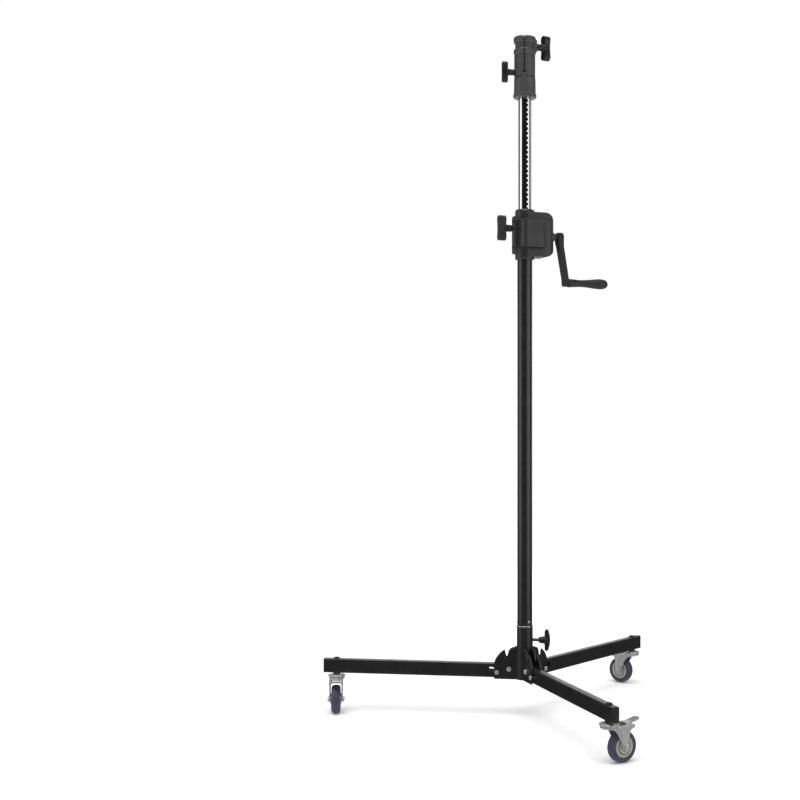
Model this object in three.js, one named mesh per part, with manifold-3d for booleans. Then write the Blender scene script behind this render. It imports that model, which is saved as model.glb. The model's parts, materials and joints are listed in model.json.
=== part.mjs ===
// Crank lighting stand: a folding three-leg base on braked casters, a fixed column, a hand-cranked
// rack-and-pinion gearbox and a chrome riser with a spigot receiver. Millimetres, +Z up. The origin
// is on the floor, at the middle of the stand's box.
import * as THREE from "three";
import { mergeVertices } from "three/addons/utils/BufferGeometryUtils.js";
import Module from "manifold-3d";

const wasm = await Module();
wasm.setup();

// ---- driving dimensions ----
const GAP = 0.3; // between pieces that touch
const RUNNING_GAP = 0.5; // around a turning shaft
const COLUMN_X = 0.7; // column axis from the middle of the stand's box
const COLUMN_Y = 106.9;

const COLUMN_RADIUS = 20;
const COLUMN_WALL = 1.8;
const COLUMN_BOTTOM = 100;
const COLUMN_TOP = 1245;
const SOCKET_RADIUS = 21.3;
const SOCKET_TOP = 238;
const RING_HEIGHT = 4;

const RISER_RADIUS = 17.5;
const RISER_WALL = 1.8;
const RISER_BOTTOM = 560;
const RISER_TOP = 1690;
const RISER_SIDES = 20;

const LEG_AZIMUTHS = { front: -90, right: 30, left: 150 };
const LEG_WIDTH = 20;
const LEG_HEIGHT = 38;
const LEG_WALL = 2;
const LEG_BOTTOM = 102;
const LEG_TOP = LEG_BOTTOM + LEG_HEIGHT;
const LEG_START = 33;
const LEG_END = 550;
const CAP_THICKNESS = 3.5;
const PIVOT = { r: 41, z: 126 }; // leg fold bolt, from the column axis
const LOCK_OPEN = { r: 33, z: -9.5 }; // lock pin from the pivot, leg set out
const LOCK_FOLDED = { r: 34.5, z: -8.5 }; // lock pin from the pivot in the leg's frame, leg folded
const BOLT_RADIUS = 4;
const LOCK_PIN_RADIUS = 3.5;

const CHEEK_THICKNESS = 3;
const CHEEK_INNER = LEG_WIDTH / 2 + 0.5;
const CHEEK_OUTER = CHEEK_INNER + CHEEK_THICKNESS;
const CHEEK_BOTTOM = 99;
const CHEEK_END = 81.5;

const STEM_RADIUS_FROM_COLUMN = 519;
const CASTER_TRAIL = 38;
const CASTER_ANGLES = { front: 103, right: 90, left: 103 }; // trail direction from the leg's
const WHEEL_RADIUS = 37.5;
const WHEEL_HALF_WIDTH = 11.5;
const CORE_RADIUS = 25.5;
const FORK_INNER = 15;
const FORK_THICKNESS = 2.5;
const WHEEL_SIDES = 24;
const PEDAL_PIVOT = { x: 54, z: 85 };

const HOUSING_BOTTOM = 1221;
const HOUSING_TOP = 1354;
const COLLAR_RADIUS = 26;
const GEARBOX = { bottom: 1228, top: 1347, end: 81, front: -26, rear: 24, corner: 33, wall: 4 };
const CASING_NOSE = 26; // corner radius of the gearbox in plan, at its front outer end
const BULGE = { left: -25, right: 45, front: -49, rear: -13, corner: 12, wall: 3.5 };
const BULGE_BOTTOM = 1251;
const BULGE_TOP = 1325;
const BUSHING_BOTTOM = 1326;
const COVER = { left: 2, right: 80, panelFloor: 1.2, thickness: 4 };
const COVER_SCREWS = [[38, 1337.5], [38, 1237.5], [71, 1308], [71, 1267]];
const BRAKE_Z = 1303;
const SHOE_HALF_HEIGHT = 19.6;

const RACK_PITCH = 4 * Math.PI;
const PINION_TEETH = 5;
const PINION_RADIUS = (PINION_TEETH * RACK_PITCH) / (2 * Math.PI);
const PINION_WIDTH = 4.2;
const PINION_AXIS = { y: -RISER_RADIUS - PINION_RADIUS, z: 1305 };
const GEAR_MODULE = 1.5;
const DRIVEN_TEETH = 20;
const DRIVE_TEETH = 16;
const GEAR_WIDTH = 6;
const GEAR_X = 31;
const CRANK_Z = 1284;
const GEAR_CENTRES = (GEAR_MODULE * (DRIVEN_TEETH + DRIVE_TEETH)) / 2;
const CRANK_RISE = CRANK_Z - PINION_AXIS.z;
const CRANK_AXIS = { y: PINION_AXIS.y + Math.sqrt(GEAR_CENTRES ** 2 - CRANK_RISE ** 2), z: CRANK_Z };
const GEAR_LINE = Math.atan2(CRANK_RISE, CRANK_AXIS.y - PINION_AXIS.y);
const HANDLE_Z = 1162;
const HANDLE_START = 121;
const HANDLE_END = 239;

const HEAD_BOTTOM = 1653;
const HEAD_TOP = 1816;
const JUNIOR_RADIUS = 14.3; // receiver for a 28 mm spigot
const BABY_RADIUS = 8.2; // deeper receiver for a 16 mm spigot
const JUNIOR_FLOOR = 1740;
const BABY_FLOOR = 1697;
const SLIT_AZIMUTH = -115;
const SLIT_BOTTOM = 1721;
const UPPER_KNOB = { azimuth: 10, z: 1796 };
const LOWER_KNOB = { azimuth: 171, z: 1721 };
const BASE_KNOB = { azimuth: -30, z: 204 };

const CYLINDER_SIDES = 20;
const SMALL_SIDES = 10;
const DISC_SIDES = 16;

// ---- materials ----
function finish(color, roughness, metalness) {
  return new THREE.MeshStandardMaterial({ color, roughness, metalness });
}

const blackPaint = finish(0x1c1c1e, 0.55, 0.2);
const castGrey = finish(0x2f2f33, 0.6, 0.2);
const blackPlastic = finish(0x19191b, 0.5, 0);
const chrome = finish(0xd8dade, 0.12, 1);
const zinc = finish(0xbdbcc0, 0.35, 0.9);
const steel = finish(0xc9c9cc, 0.3, 1);
const tyreBlue = finish(0x3a3e55, 0.7, 0);
const coreGrey = finish(0x96967f, 0.6, 0);
const nylon = finish(0x2a2a2c, 0.7, 0);
const brass = finish(0x9d8752, 0.4, 0.9);

// ---- geometry helpers ----
function radians(degrees) {
  return (degrees * Math.PI) / 180;
}

// Positions only, shared corners merged, empty triangles dropped.
function welded(geometry) {
  const bare = geometry.clone();
  bare.deleteAttribute("normal");
  bare.deleteAttribute("uv");
  const merged = mergeVertices(bare, 1e-4);
  const corners = merged.index.array;
  const kept = [];
  for (let i = 0; i < corners.length; i += 3) {
    const [a, b, c] = corners.slice(i, i + 3);
    if (a !== b && b !== c && c !== a) kept.push(a, b, c);
  }
  merged.setIndex(kept);
  return merged;
}

function toManifold(geometry) {
  const closed = welded(geometry);
  const vertProperties = new Float32Array(closed.attributes.position.array);
  const triVerts = new Uint32Array(closed.index.array);
  return new wasm.Manifold(new wasm.Mesh({ numProp: 3, vertProperties, triVerts }));
}

function toGeometry(manifold) {
  const { vertProperties, triVerts } = manifold.getMesh();
  const geometry = new THREE.BufferGeometry();
  geometry.setAttribute("position", new THREE.BufferAttribute(new Float32Array(vertProperties), 3));
  geometry.setIndex(new THREE.BufferAttribute(new Uint32Array(triVerts), 1));
  return geometry;
}

function join(...geometries) {
  return toGeometry(geometries.map(toManifold).reduce((whole, next) => whole.add(next)));
}

function cut(geometry, ...tools) {
  const first = toManifold(geometry);
  return toGeometry(tools.map(toManifold).reduce((rest, tool) => rest.subtract(tool), first));
}

function common(first, second) {
  return toGeometry(toManifold(first).intersect(toManifold(second)));
}

// Solid of revolution about Z from [radius, z] points that run upwards on the outside.
function turned(profile, sides = CYLINDER_SIDES) {
  const points = profile.map(([radius, z]) => new THREE.Vector2(radius, z));
  return new THREE.LatheGeometry(points, sides, Math.PI / sides).rotateX(Math.PI / 2);
}

function cylinder(radius, bottom, top, sides = CYLINDER_SIDES) {
  return turned([[0, bottom], [radius, bottom], [radius, top], [0, top]], sides);
}

function tube(inner, outer, bottom, top, sides = CYLINDER_SIDES) {
  const walls = [[inner, bottom], [outer, bottom], [outer, top], [inner, top], [inner, bottom]];
  return turned(walls, sides);
}

// Local Z to X, X to Y and Y to Z.
function alongX(geometry) {
  return geometry.rotateY(Math.PI / 2).rotateX(Math.PI / 2);
}

// Local Z to Y, X stays.
function alongY(geometry) {
  return geometry.rotateX(-Math.PI / 2);
}

function rodX(radius, from, to, y, z, sides = SMALL_SIDES) {
  return alongX(cylinder(radius, from, to, sides)).translate(0, y, z);
}

function rodY(radius, from, to, x, z, sides = SMALL_SIDES) {
  return alongY(cylinder(radius, from, to, sides)).translate(x, 0, z);
}

function block([x0, x1], [y0, y1], [z0, z1]) {
  const box = new THREE.BoxGeometry(x1 - x0, y1 - y0, z1 - z0);
  return box.translate((x0 + x1) / 2, (y0 + y1) / 2, (z0 + z1) / 2);
}

// A block whose X is the distance from the column axis in the direction of an azimuth.
function radialBlock(azimuth, radii, halfWidth, heights) {
  return block(radii, [-halfWidth, halfWidth], heights).rotateZ(radians(azimuth));
}

function radialRod(azimuth, radius, from, to, z) {
  return rodX(radius, from, to, 0, z).rotateZ(radians(azimuth));
}

function extruded(shape, depth, curveSegments) {
  return new THREE.ExtrudeGeometry(shape, { depth, curveSegments, bevelEnabled: false });
}

// Outline in (x, y), (x, z) or (y, z), given thickness along the third axis.
function slabXY(shape, from, to, curveSegments = 4) {
  return extruded(shape, to - from, curveSegments).translate(0, 0, from);
}

function slabXZ(shape, from, to, curveSegments = 4) {
  return extruded(shape, to - from, curveSegments).rotateX(Math.PI / 2).translate(0, to, 0);
}

function slabYZ(shape, from, to, curveSegments = 4) {
  return alongX(extruded(shape, to - from, curveSegments)).translate(from, 0, 0);
}

function outline(points) {
  return new THREE.Shape(points.map(([x, y]) => new THREE.Vector2(x, y)));
}

// Rectangle with a corner radius each side: left for the low-x corners, right for the high-x ones.
function roundedRectangle(x0, x1, y0, y1, left, right) {
  const shape = new THREE.Shape();
  shape.moveTo(x0 + left, y0);
  shape.lineTo(x1 - right, y0);
  shape.absarc(x1 - right, y0 + right, right, -Math.PI / 2, 0, false);
  shape.absarc(x1 - right, y1 - right, right, 0, Math.PI / 2, false);
  shape.absarc(x0 + left, y1 - left, left, Math.PI / 2, Math.PI, false);
  shape.absarc(x0 + left, y0 + left, left, Math.PI, 1.5 * Math.PI, false);
  return shape;
}

// A band of constant width with round ends along a line of [x, y] points.
function ribbon(path, width) {
  const last = path.length - 1;
  const side = (sign) => path.map(([x, y], i) => {
    const [ax, ay] = path[Math.max(i - 1, 0)];
    const [bx, by] = path[Math.min(i + 1, last)];
    const step = Math.hypot(bx - ax, by - ay);
    const reach = (sign * width) / 2 / step;
    return [x - (by - ay) * reach, y + (bx - ax) * reach];
  });
  const roundEnd = (tip, start) => [1, 2, 3].map((k) => {
    const angle = start - (k * Math.PI) / 4;
    return [tip[0] + (width / 2) * Math.cos(angle), tip[1] + (width / 2) * Math.sin(angle)];
  });
  const heading = (a, b) => Math.atan2(b[1] - a[1], b[0] - a[0]);
  const end = roundEnd(path[last], heading(path[last - 1], path[last]) + Math.PI / 2);
  const start = roundEnd(path[0], heading(path[0], path[1]) - Math.PI / 2);
  return outline([...side(1), ...end, ...side(-1).reverse(), ...start].reverse());
}

// ---- scene graph ----
const stand = new THREE.Group();
stand.position.set(COLUMN_X, COLUMN_Y, 0);

function piece(name, geometry, material, parent = stand) {
  const mesh = new THREE.Mesh(welded(geometry), material);
  mesh.name = name;
  parent.add(mesh);
}

// ---- base: socket, hub plates, legs ----
function socketTube() {
  const screwHole = radialRod(BASE_KNOB.azimuth, BOLT_RADIUS + GAP, 15, 30, BASE_KNOB.z);
  return cut(tube(COLUMN_RADIUS + GAP, SOCKET_RADIUS, CHEEK_BOTTOM, SOCKET_TOP), screwHole);
}

function socketRing() {
  const bottom = SOCKET_TOP + GAP;
  return tube(COLUMN_RADIUS + GAP, SOCKET_RADIUS + 0.8, bottom, bottom + RING_HEIGHT);
}

// Where the lock pin stands, from the column axis, with the leg folded up by an angle.
function lockPinAt(foldAngle) {
  const share = foldAngle / (Math.PI / 2);
  const r = LOCK_OPEN.r + share * (LOCK_FOLDED.r - LOCK_OPEN.r);
  const z = LOCK_OPEN.z + share * (LOCK_FOLDED.z - LOCK_OPEN.z);
  const [c, s] = [Math.cos(foldAngle), Math.sin(foldAngle)];
  return [PIVOT.r + r * c - z * s, PIVOT.z + r * s + z * c];
}

// Side view of a cheek: flat foot, straight outer edge, round shoulder, step down to the socket.
function cheekOutline() {
  const [arcR, arcZ, arcRadius] = [35, 132, 47];
  const shape = new THREE.Shape();
  shape.moveTo(19, CHEEK_BOTTOM);
  shape.lineTo(CHEEK_END, CHEEK_BOTTOM);
  const startAngle = Math.acos((CHEEK_END - arcR) / arcRadius);
  shape.absarc(arcR, arcZ, arcRadius, startAngle, radians(96), false);
  shape.lineTo(23, 184);
  shape.lineTo(19, 186);
  return shape;
}

// One side plate of a leg's clevis in the leg's frame. The lock pin runs in its curved slot, from
// the open lock at the plate's outer edge to the notch that holds the leg folded.
function cheek(side) {
  const steps = 6;
  const path = [];
  for (let i = 0; i <= steps; i += 1) path.push(lockPinAt((i / steps) * (Math.PI / 2)));
  const [notchR, notchZ] = lockPinAt(Math.PI / 2);
  const notch = outline([
    [notchR - 3, notchZ - 3],
    [notchR + 3, notchZ - 3],
    [notchR + 8, 182],
    [notchR - 7, 182],
  ]);
  const [from, to] = side > 0 ? [CHEEK_INNER, CHEEK_OUTER] : [-CHEEK_OUTER, -CHEEK_INNER];
  return cut(
    slabXZ(cheekOutline(), from, to, 7),
    slabXZ(ribbon(path, 2 * (LOCK_PIN_RADIUS + GAP)), from - 1, to + 1),
    slabXZ(notch, from - 1, to + 1),
    rodY(BOLT_RADIUS + GAP, from - 1, to + 1, PIVOT.r, PIVOT.z),
  );
}

// A bent plate between two legs: it wraps the socket and carries one cheek of each leg.
function hubPlate() {
  const wrap = new THREE.Shape();
  const half = radians(30);
  wrap.absarc(0, 0, SOCKET_RADIUS + CHEEK_THICKNESS - GAP, -half, half, false);
  wrap.absarc(0, 0, SOCKET_RADIUS + GAP, half, -half, true);
  return join(
    slabXY(wrap, CHEEK_BOTTOM, 186),
    cheek(-1).rotateZ(radians(60)),
    cheek(1).rotateZ(radians(-60)),
  );
}

function legTube() {
  const inner = LEG_WIDTH / 2 - LEG_WALL;
  const bar = block([LEG_START, LEG_END], [-LEG_WIDTH / 2, LEG_WIDTH / 2], [LEG_BOTTOM, LEG_TOP]);
  const hollow = block([0, LEG_END + 9], [-inner, inner], [LEG_BOTTOM + LEG_WALL, LEG_TOP - LEG_WALL]);
  const open = [PIVOT.r + LOCK_OPEN.r, PIVOT.z + LOCK_OPEN.z];
  const track = [open, [PIVOT.r + 45, PIVOT.z], [PIVOT.r + 54, PIVOT.z]];
  const slot = ribbon(track, 2 * (LOCK_PIN_RADIUS + GAP));
  const half = LEG_WIDTH / 2 + 1;
  const stemHole = cylinder(5 + GAP, LEG_BOTTOM - 1, LEG_TOP + 1, SMALL_SIDES);
  return cut(
    bar,
    hollow,
    slabXZ(slot, -half, half),
    rodY(BOLT_RADIUS + GAP, -half, half, PIVOT.r, PIVOT.z),
    stemHole.translate(STEM_RADIUS_FROM_COLUMN, 0, 0),
  );
}

function legEndCap() {
  const start = LEG_END + GAP;
  const flange = slabYZ(
    roundedRectangle(-LEG_WIDTH / 2, LEG_WIDTH / 2, LEG_BOTTOM, LEG_TOP, 2, 2),
    start,
    start + CAP_THICKNESS,
    2,
  );
  const inset = LEG_WALL + GAP;
  const half = LEG_WIDTH / 2 - inset;
  const plug = block([LEG_END - 9, start + 1], [-half, half], [LEG_BOTTOM + inset, LEG_TOP - inset]);
  return join(flange, plug);
}

// A cross bolt along Y with a domed head on one side and a nut on the other.
function crossBolt(r, z, radius, headRadius, headHeight) {
  const face = CHEEK_OUTER + GAP;
  const tip = face + headHeight;
  const head = [[0, face], [headRadius, face], [headRadius, tip - 1.5], [headRadius * 0.6, tip], [0, tip]];
  return join(
    rodY(radius, -face - 1, face + 1, r, z),
    alongY(turned(head, SMALL_SIDES)).translate(r, 0, z),
    rodY(headRadius, -tip, -face, r, z, 6),
  );
}

// ---- casters, in a frame with the stem on the Z axis and the wheel trailing along +X ----
function casterStem() {
  const top = LEG_TOP + GAP;
  const under = LEG_BOTTOM - GAP;
  return join(
    cylinder(5, 84, top + 1, SMALL_SIDES),
    turned([[0, top], [8.5, top], [8, top + 2.5], [4, top + 4], [0, top + 4]], SMALL_SIDES),
    cylinder(9, 96, under, 6),
    turned([[0, 92.6], [23.5, 92.6], [23.5, 94.5], [20, 97], [0, 97]], DISC_SIDES),
  );
}

// Side view of a fork leg: wide at the crown, narrow at the axle, flared under the pedal.
function forkOutline() {
  const shape = outline([[-9, 84], [4, 80], [14, 70], [22, 56], [29.5, 41]]);
  shape.absarc(CASTER_TRAIL, WHEEL_RADIUS, 9, radians(160), radians(365), false);
  shape.lineTo(47, 68);
  shape.lineTo(52, 78);
  shape.lineTo(64, 82);
  shape.lineTo(64, 88);
  shape.lineTo(44, 91);
  shape.lineTo(24, 88);
  shape.lineTo(-9, 88);
  return shape;
}

function casterFork() {
  const outer = FORK_INNER + FORK_THICKNESS;
  const cup = [[0, 83.5], [18, 83.5], [21.5, 86], [21.5, 92.2], [0, 92.2]];
  const whole = join(
    slabXZ(forkOutline(), -outer, -FORK_INNER),
    slabXZ(forkOutline(), FORK_INNER, outer),
    block([-9, 30], [-outer, outer], [84, 87]),
    turned(cup, 24),
  );
  return cut(
    whole,
    cylinder(5 + RUNNING_GAP, 80, 95, SMALL_SIDES),
    rodY(4 + GAP, -20, 20, CASTER_TRAIL, WHEEL_RADIUS),
    rodY(2.5 + GAP, -20, 20, PEDAL_PIVOT.x, PEDAL_PIVOT.z),
  );
}

// A solid of revolution about the caster's axle.
function wheelSolid(profile) {
  return alongY(turned(profile, WHEEL_SIDES)).translate(CASTER_TRAIL, 0, WHEEL_RADIUS);
}

function wheelCore() {
  const w = WHEEL_HALF_WIDTH;
  const bore = 4 + RUNNING_GAP;
  const half = [[bore, -w], [16, -w], [19, -w + 3], [CORE_RADIUS, -w + 1]];
  const mirrored = half.map(([r, z]) => [r, -z]).reverse();
  return wheelSolid([...half, ...mirrored, half[0]]);
}

// The tread's flats, not its corners, stand at the wheel's radius, so that it rests on the floor.
function tyre() {
  const w = WHEEL_HALF_WIDTH;
  const tread = WHEEL_RADIUS / Math.cos(Math.PI / WHEEL_SIDES);
  const bore = CORE_RADIUS + GAP;
  const half = [[bore, -w], [33, -w], [tread, -w + 5]];
  const mirrored = half.map(([r, z]) => [r, -z]).reverse();
  return wheelSolid([...half, ...mirrored, half[0]]);
}

// Axle bolt with its nut and the two thread guards between fork and wheel.
function casterAxle() {
  const outer = FORK_INNER + FORK_THICKNESS + GAP;
  const guards = [-1, 1].map((side) => {
    const ends = [WHEEL_HALF_WIDTH + RUNNING_GAP, FORK_INNER - GAP].map((y) => side * y);
    ends.sort((a, b) => a - b);
    return rodY(15.5, ends[0], ends[1], CASTER_TRAIL, WHEEL_RADIUS, DISC_SIDES);
  });
  return join(
    rodY(4, -outer - 1, outer + 1, CASTER_TRAIL, WHEEL_RADIUS),
    rodY(6.5, outer, outer + 4.5, CASTER_TRAIL, WHEEL_RADIUS, 6),
    rodY(6.5, -outer - 4.5, -outer, CASTER_TRAIL, WHEEL_RADIUS, 6),
    ...guards,
  );
}

// Foot pedal: a pressed plate on a cross pin between the fork legs, turned up at its toe.
function brakePedal() {
  const under = [[40, 92], [62, 91.5], [76, 94.5], [86, 97.5]];
  const over = [[86, 100], [75, 97.5], [62, 94.5], [40, 95]];
  const plate = outline([...under, ...over]);
  const lug = outline([[49, 93], [50, 83], [54, 80.5], [58, 83], [60, 93]]);
  return join(
    slabXZ(plate, -12, 12),
    slabXZ(lug, -12, -9),
    slabXZ(lug, 9, 12),
    rodY(2.5, -18.5, 18.5, PEDAL_PIVOT.x, PEDAL_PIVOT.z),
  );
}

function addCaster(name, leg) {
  const caster = new THREE.Group();
  caster.position.x = STEM_RADIUS_FROM_COLUMN;
  caster.rotation.z = radians(CASTER_ANGLES[name]);
  leg.add(caster);
  piece(`${name}_caster_stem`, casterStem(), blackPaint, caster);
  piece(`${name}_caster_fork`, casterFork(), zinc, caster);
  piece(`${name}_caster_axle`, casterAxle(), zinc, caster);
  piece(`${name}_wheel_core`, wheelCore(), coreGrey, caster);
  piece(`${name}_tyre`, tyre(), tyreBlue, caster);
  piece(`${name}_brake_pedal`, brakePedal(), zinc, caster);
}

function addLeg(name, azimuth) {
  const leg = new THREE.Group();
  leg.rotation.z = radians(azimuth);
  stand.add(leg);
  piece(`${name}_leg_tube`, legTube(), blackPaint, leg);
  piece(`${name}_leg_end_cap`, legEndCap(), blackPlastic, leg);
  piece(`${name}_leg_pivot_bolt`, crossBolt(PIVOT.r, PIVOT.z, BOLT_RADIUS, 6.5, 5), steel, leg);
  const [pinR, pinZ] = lockPinAt(0);
  piece(`${name}_leg_lock_pin`, crossBolt(pinR, pinZ, LOCK_PIN_RADIUS, 6, 4), steel, leg);
  addCaster(name, leg);
}

function addBase() {
  piece("base_socket_tube", socketTube(), blackPaint);
  piece("socket_ring", socketRing(), chrome);
  const plateAzimuths = { right_front: -30, front_left: -150, left_right: 90 };
  for (const [name, azimuth] of Object.entries(plateAzimuths)) {
    piece(`${name}_hub_plate`, hubPlate().rotateZ(radians(azimuth)), blackPaint);
  }
  for (const [name, azimuth] of Object.entries(LEG_AZIMUTHS)) addLeg(name, azimuth);
}

// ---- T-knobs: wing, hub and screw along +X, the wing upright ----
function tKnob({ tip, shoulder, reach, height, thickness, hubRadius, endHalf, waistHalf, z }) {
  const half = height / 2;
  const rise = half - endHalf;
  const wing = new THREE.Shape();
  wing.absarc(0, rise, endHalf, 0, Math.PI, false);
  wing.quadraticCurveTo(-2 * waistHalf + endHalf, 0, -endHalf, -rise);
  wing.absarc(0, -rise, endHalf, Math.PI, 2 * Math.PI, false);
  wing.quadraticCurveTo(2 * waistHalf - endHalf, 0, endHalf, rise);
  return join(
    slabYZ(wing, reach - thickness, reach, 5).translate(0, 0, z),
    rodX(hubRadius, shoulder, reach - 2, 0, z, 12),
    rodX(BOLT_RADIUS, tip, shoulder + 1, 0, z),
  );
}

function baseKnob() {
  return tKnob({
    tip: COLUMN_RADIUS + GAP,
    shoulder: 38,
    reach: 68,
    height: 57,
    thickness: 13,
    hubRadius: 9,
    endHalf: 6.5,
    waistHalf: 8,
    z: BASE_KNOB.z,
  });
}

function brakeKnob() {
  return tKnob({
    tip: 26.6,
    shoulder: 38,
    reach: 76,
    height: 67,
    thickness: 20,
    hubRadius: 9.3,
    endHalf: 11,
    waistHalf: 9,
    z: BRAKE_Z,
  });
}

function upperHeadKnob() {
  return tKnob({
    tip: JUNIOR_RADIUS + GAP,
    shoulder: 36,
    reach: 76,
    height: 67,
    thickness: 19,
    hubRadius: 8.8,
    endHalf: 11,
    waistHalf: 9,
    z: UPPER_KNOB.z,
  });
}

function lowerHeadKnob() {
  return tKnob({
    tip: BABY_RADIUS + GAP,
    shoulder: 28,
    reach: 62,
    height: 56,
    thickness: 14.5,
    hubRadius: 8.2,
    endHalf: 9,
    waistHalf: 8,
    z: LOWER_KNOB.z,
  });
}

function addTurned(name, geometry, azimuth) {
  piece(name, geometry.rotateZ(radians(azimuth)), blackPlastic);
}

// ---- column and gearbox ----
function gearboxOutline(inset) {
  const { bottom, top, end, corner } = GEARBOX;
  return roundedRectangle(inset ? 30 : 0, end - inset, bottom + inset, top - inset, 2, corner - inset);
}

// The gearbox seen from above: its front outer corner is a large arc.
function gearboxPlan(inset) {
  const { end, front, rear } = GEARBOX;
  return roundedRectangle(-10, end - inset, front + inset, rear + 2 * CASING_NOSE, 1, CASING_NOSE - inset);
}

// The gearbox body, or with an inset the space inside it, which opens through its rear face.
function gearbox(inset) {
  const { bottom, top, front, rear } = GEARBOX;
  return common(
    slabXZ(gearboxOutline(inset), front - 1, inset ? rear + 1 : rear, 6),
    slabXY(gearboxPlan(inset), bottom - 1, top + 1, 5),
  );
}

function gearHousing() {
  const collar = [
    [0, HOUSING_BOTTOM],
    [COLLAR_RADIUS - 1, HOUSING_BOTTOM],
    [COLLAR_RADIUS, HOUSING_BOTTOM + 1.5],
    [COLLAR_RADIUS, HOUSING_TOP - 3],
    [COLLAR_RADIUS - 2, HOUSING_TOP],
    [0, HOUSING_TOP],
  ];
  const { left, right, front, rear, corner, wall } = BULGE;
  const bulge = roundedRectangle(left, right, front, rear, corner, corner);
  const body = join(
    turned(collar),
    gearbox(0),
    slabXY(bulge, BULGE_BOTTOM, BULGE_TOP),
    rodX(11, GEARBOX.end - 20, GEARBOX.end, CRANK_AXIS.y, CRANK_AXIS.z, DISC_SIDES),
  );
  const pocket = [BULGE_BOTTOM + wall, BULGE_TOP - wall];
  const shoePocket = [BRAKE_Z - SHOE_HALF_HEIGHT - 0.4, BRAKE_Z + SHOE_HALF_HEIGHT + 0.4];
  const gearSpace = [GEAR_X - 1.5, GEAR_X + GEAR_WIDTH + 2];
  return cut(
    body,
    gearbox(GEARBOX.wall),
    block(gearSpace, [front + wall, 0], pocket),
    block([-9, gearSpace[1]], [front + wall, -COLLAR_RADIUS - 1], pocket),
    block([-4, 4], [-COLLAR_RADIUS - 2, -10], [PINION_AXIS.z - 14, PINION_AXIS.z + 14]),
    rodX(BOLT_RADIUS + RUNNING_GAP, -20, 43, PINION_AXIS.y, PINION_AXIS.z),
    rodX(5 + RUNNING_GAP, 21, GEARBOX.end + 2, CRANK_AXIS.y, CRANK_AXIS.z),
    cylinder(RISER_RADIUS + 1.1, HOUSING_BOTTOM - 1, HOUSING_TOP + 1),
    cylinder(COLUMN_RADIUS + GAP, HOUSING_BOTTOM - 1, COLUMN_TOP + GAP),
    cylinder(RISER_RADIUS + 4 + GAP, BUSHING_BOTTOM - GAP, HOUSING_TOP + 1),
    block([-COLLAR_RADIUS - 2, -10], [-9, 9], shoePocket),
  );
}

function gearCover() {
  const rear = GEARBOX.rear + GAP;
  const back = rear + COVER.thickness;
  const plate = roundedRectangle(COVER.left, COVER.right, GEARBOX.bottom + 1, GEARBOX.top - 1, 8, 32);
  const panel = roundedRectangle(14, 63, 1249, 1326, 7, 12);
  const holes = COVER_SCREWS.map(([x, z]) => rodY(2 + GAP, rear - 1, back + 1, x, z, 6));
  return cut(
    slabXZ(plate, rear, back, 6),
    cylinder(COLLAR_RADIUS + GAP, HOUSING_BOTTOM, HOUSING_TOP),
    slabXZ(panel, back - COVER.panelFloor, back + 1),
    ...holes,
  );
}

function coverScrew([x, z]) {
  const back = GEARBOX.rear + COVER.thickness + 2 * GAP;
  return join(
    rodY(2, GEARBOX.rear + GAP, back + 1, x, z, 6),
    rodY(3.6, back, back + 3, x, z, 6),
  );
}

function coverCap() {
  const floor = GEARBOX.rear + COVER.thickness - COVER.panelFloor + 2 * GAP;
  const dome = [[0, floor], [13, floor], [13, floor + 2.4], [11, floor + 4], [0, floor + 4]];
  return alongY(turned(dome, DISC_SIDES)).translate(42, 0, PINION_AXIS.z);
}

function riserBushing() {
  const inner = RISER_RADIUS + GAP;
  const top = HOUSING_TOP + 1;
  const profile = [
    [inner, BUSHING_BOTTOM],
    [RISER_RADIUS + 4, BUSHING_BOTTOM],
    [RISER_RADIUS + 4, top - 1],
    [inner + 1.5, top],
    [inner, top],
    [inner, BUSHING_BOTTOM],
  ];
  return turned(profile, RISER_SIDES);
}

function brakePadBlock() {
  const body = slabXZ(roundedRectangle(-33, -5, 1235, 1337, 5, 2), -12, 12, 3);
  return cut(
    body,
    cylinder(COLLAR_RADIUS + GAP, 1230, 1340),
    rodX(BOLT_RADIUS + GAP, -40, 0, 0, BRAKE_Z),
  );
}

// Friction shoe in the collar's window, between the brake screw and the riser.
function brakeShoe() {
  const [low, high] = [BRAKE_Z - SHOE_HALF_HEIGHT, BRAKE_Z + SHOE_HALF_HEIGHT];
  const body = common(block([-30, 0], [-8.6, 8.6], [low, high]), cylinder(25.6, low - 1, high + 1));
  return cut(
    body,
    cylinder(RISER_RADIUS + GAP, low - 1, high + 1, RISER_SIDES),
    block([-10, 5], [-9, 9], [low - 1, high + 1]),
  );
}

// ---- gear train ----
// Teeth as straight-sided wedges, centred on the +X direction of the outline.
function gearOutline(teeth, [root, tip], [rootHalf, tipHalf]) {
  const points = [];
  for (let tooth = 0; tooth < teeth; tooth += 1) {
    const middle = (2 * Math.PI * tooth) / teeth;
    const flank = [[root, rootHalf], [tip, tipHalf]];
    const rising = flank.map(([r, half]) => [r, middle - half / r]);
    const falling = flank.map(([r, half]) => [r, middle + half / r]).reverse();
    for (const [r, angle] of [...rising, ...falling]) {
      points.push([r * Math.cos(angle), r * Math.sin(angle)]);
    }
  }
  return outline(points);
}

function spurGear(teeth, turn, bore, axis) {
  const pitch = (GEAR_MODULE * teeth) / 2;
  const outlineXY = gearOutline(teeth, [pitch - 1.7, pitch + 1.15], [1.3, 0.5]);
  const disc = slabXY(outlineXY, 0, GEAR_WIDTH).rotateZ(turn);
  const hub = cylinder(bore + 3, -1, GEAR_WIDTH + 1, SMALL_SIDES);
  const gear = cut(join(disc, hub), cylinder(bore, -2, GEAR_WIDTH + 2, SMALL_SIDES));
  return alongX(gear).translate(GEAR_X, axis.y, axis.z);
}

function drivenGear() {
  return spurGear(DRIVEN_TEETH, GEAR_LINE, BOLT_RADIUS + GAP, PINION_AXIS);
}

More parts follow.
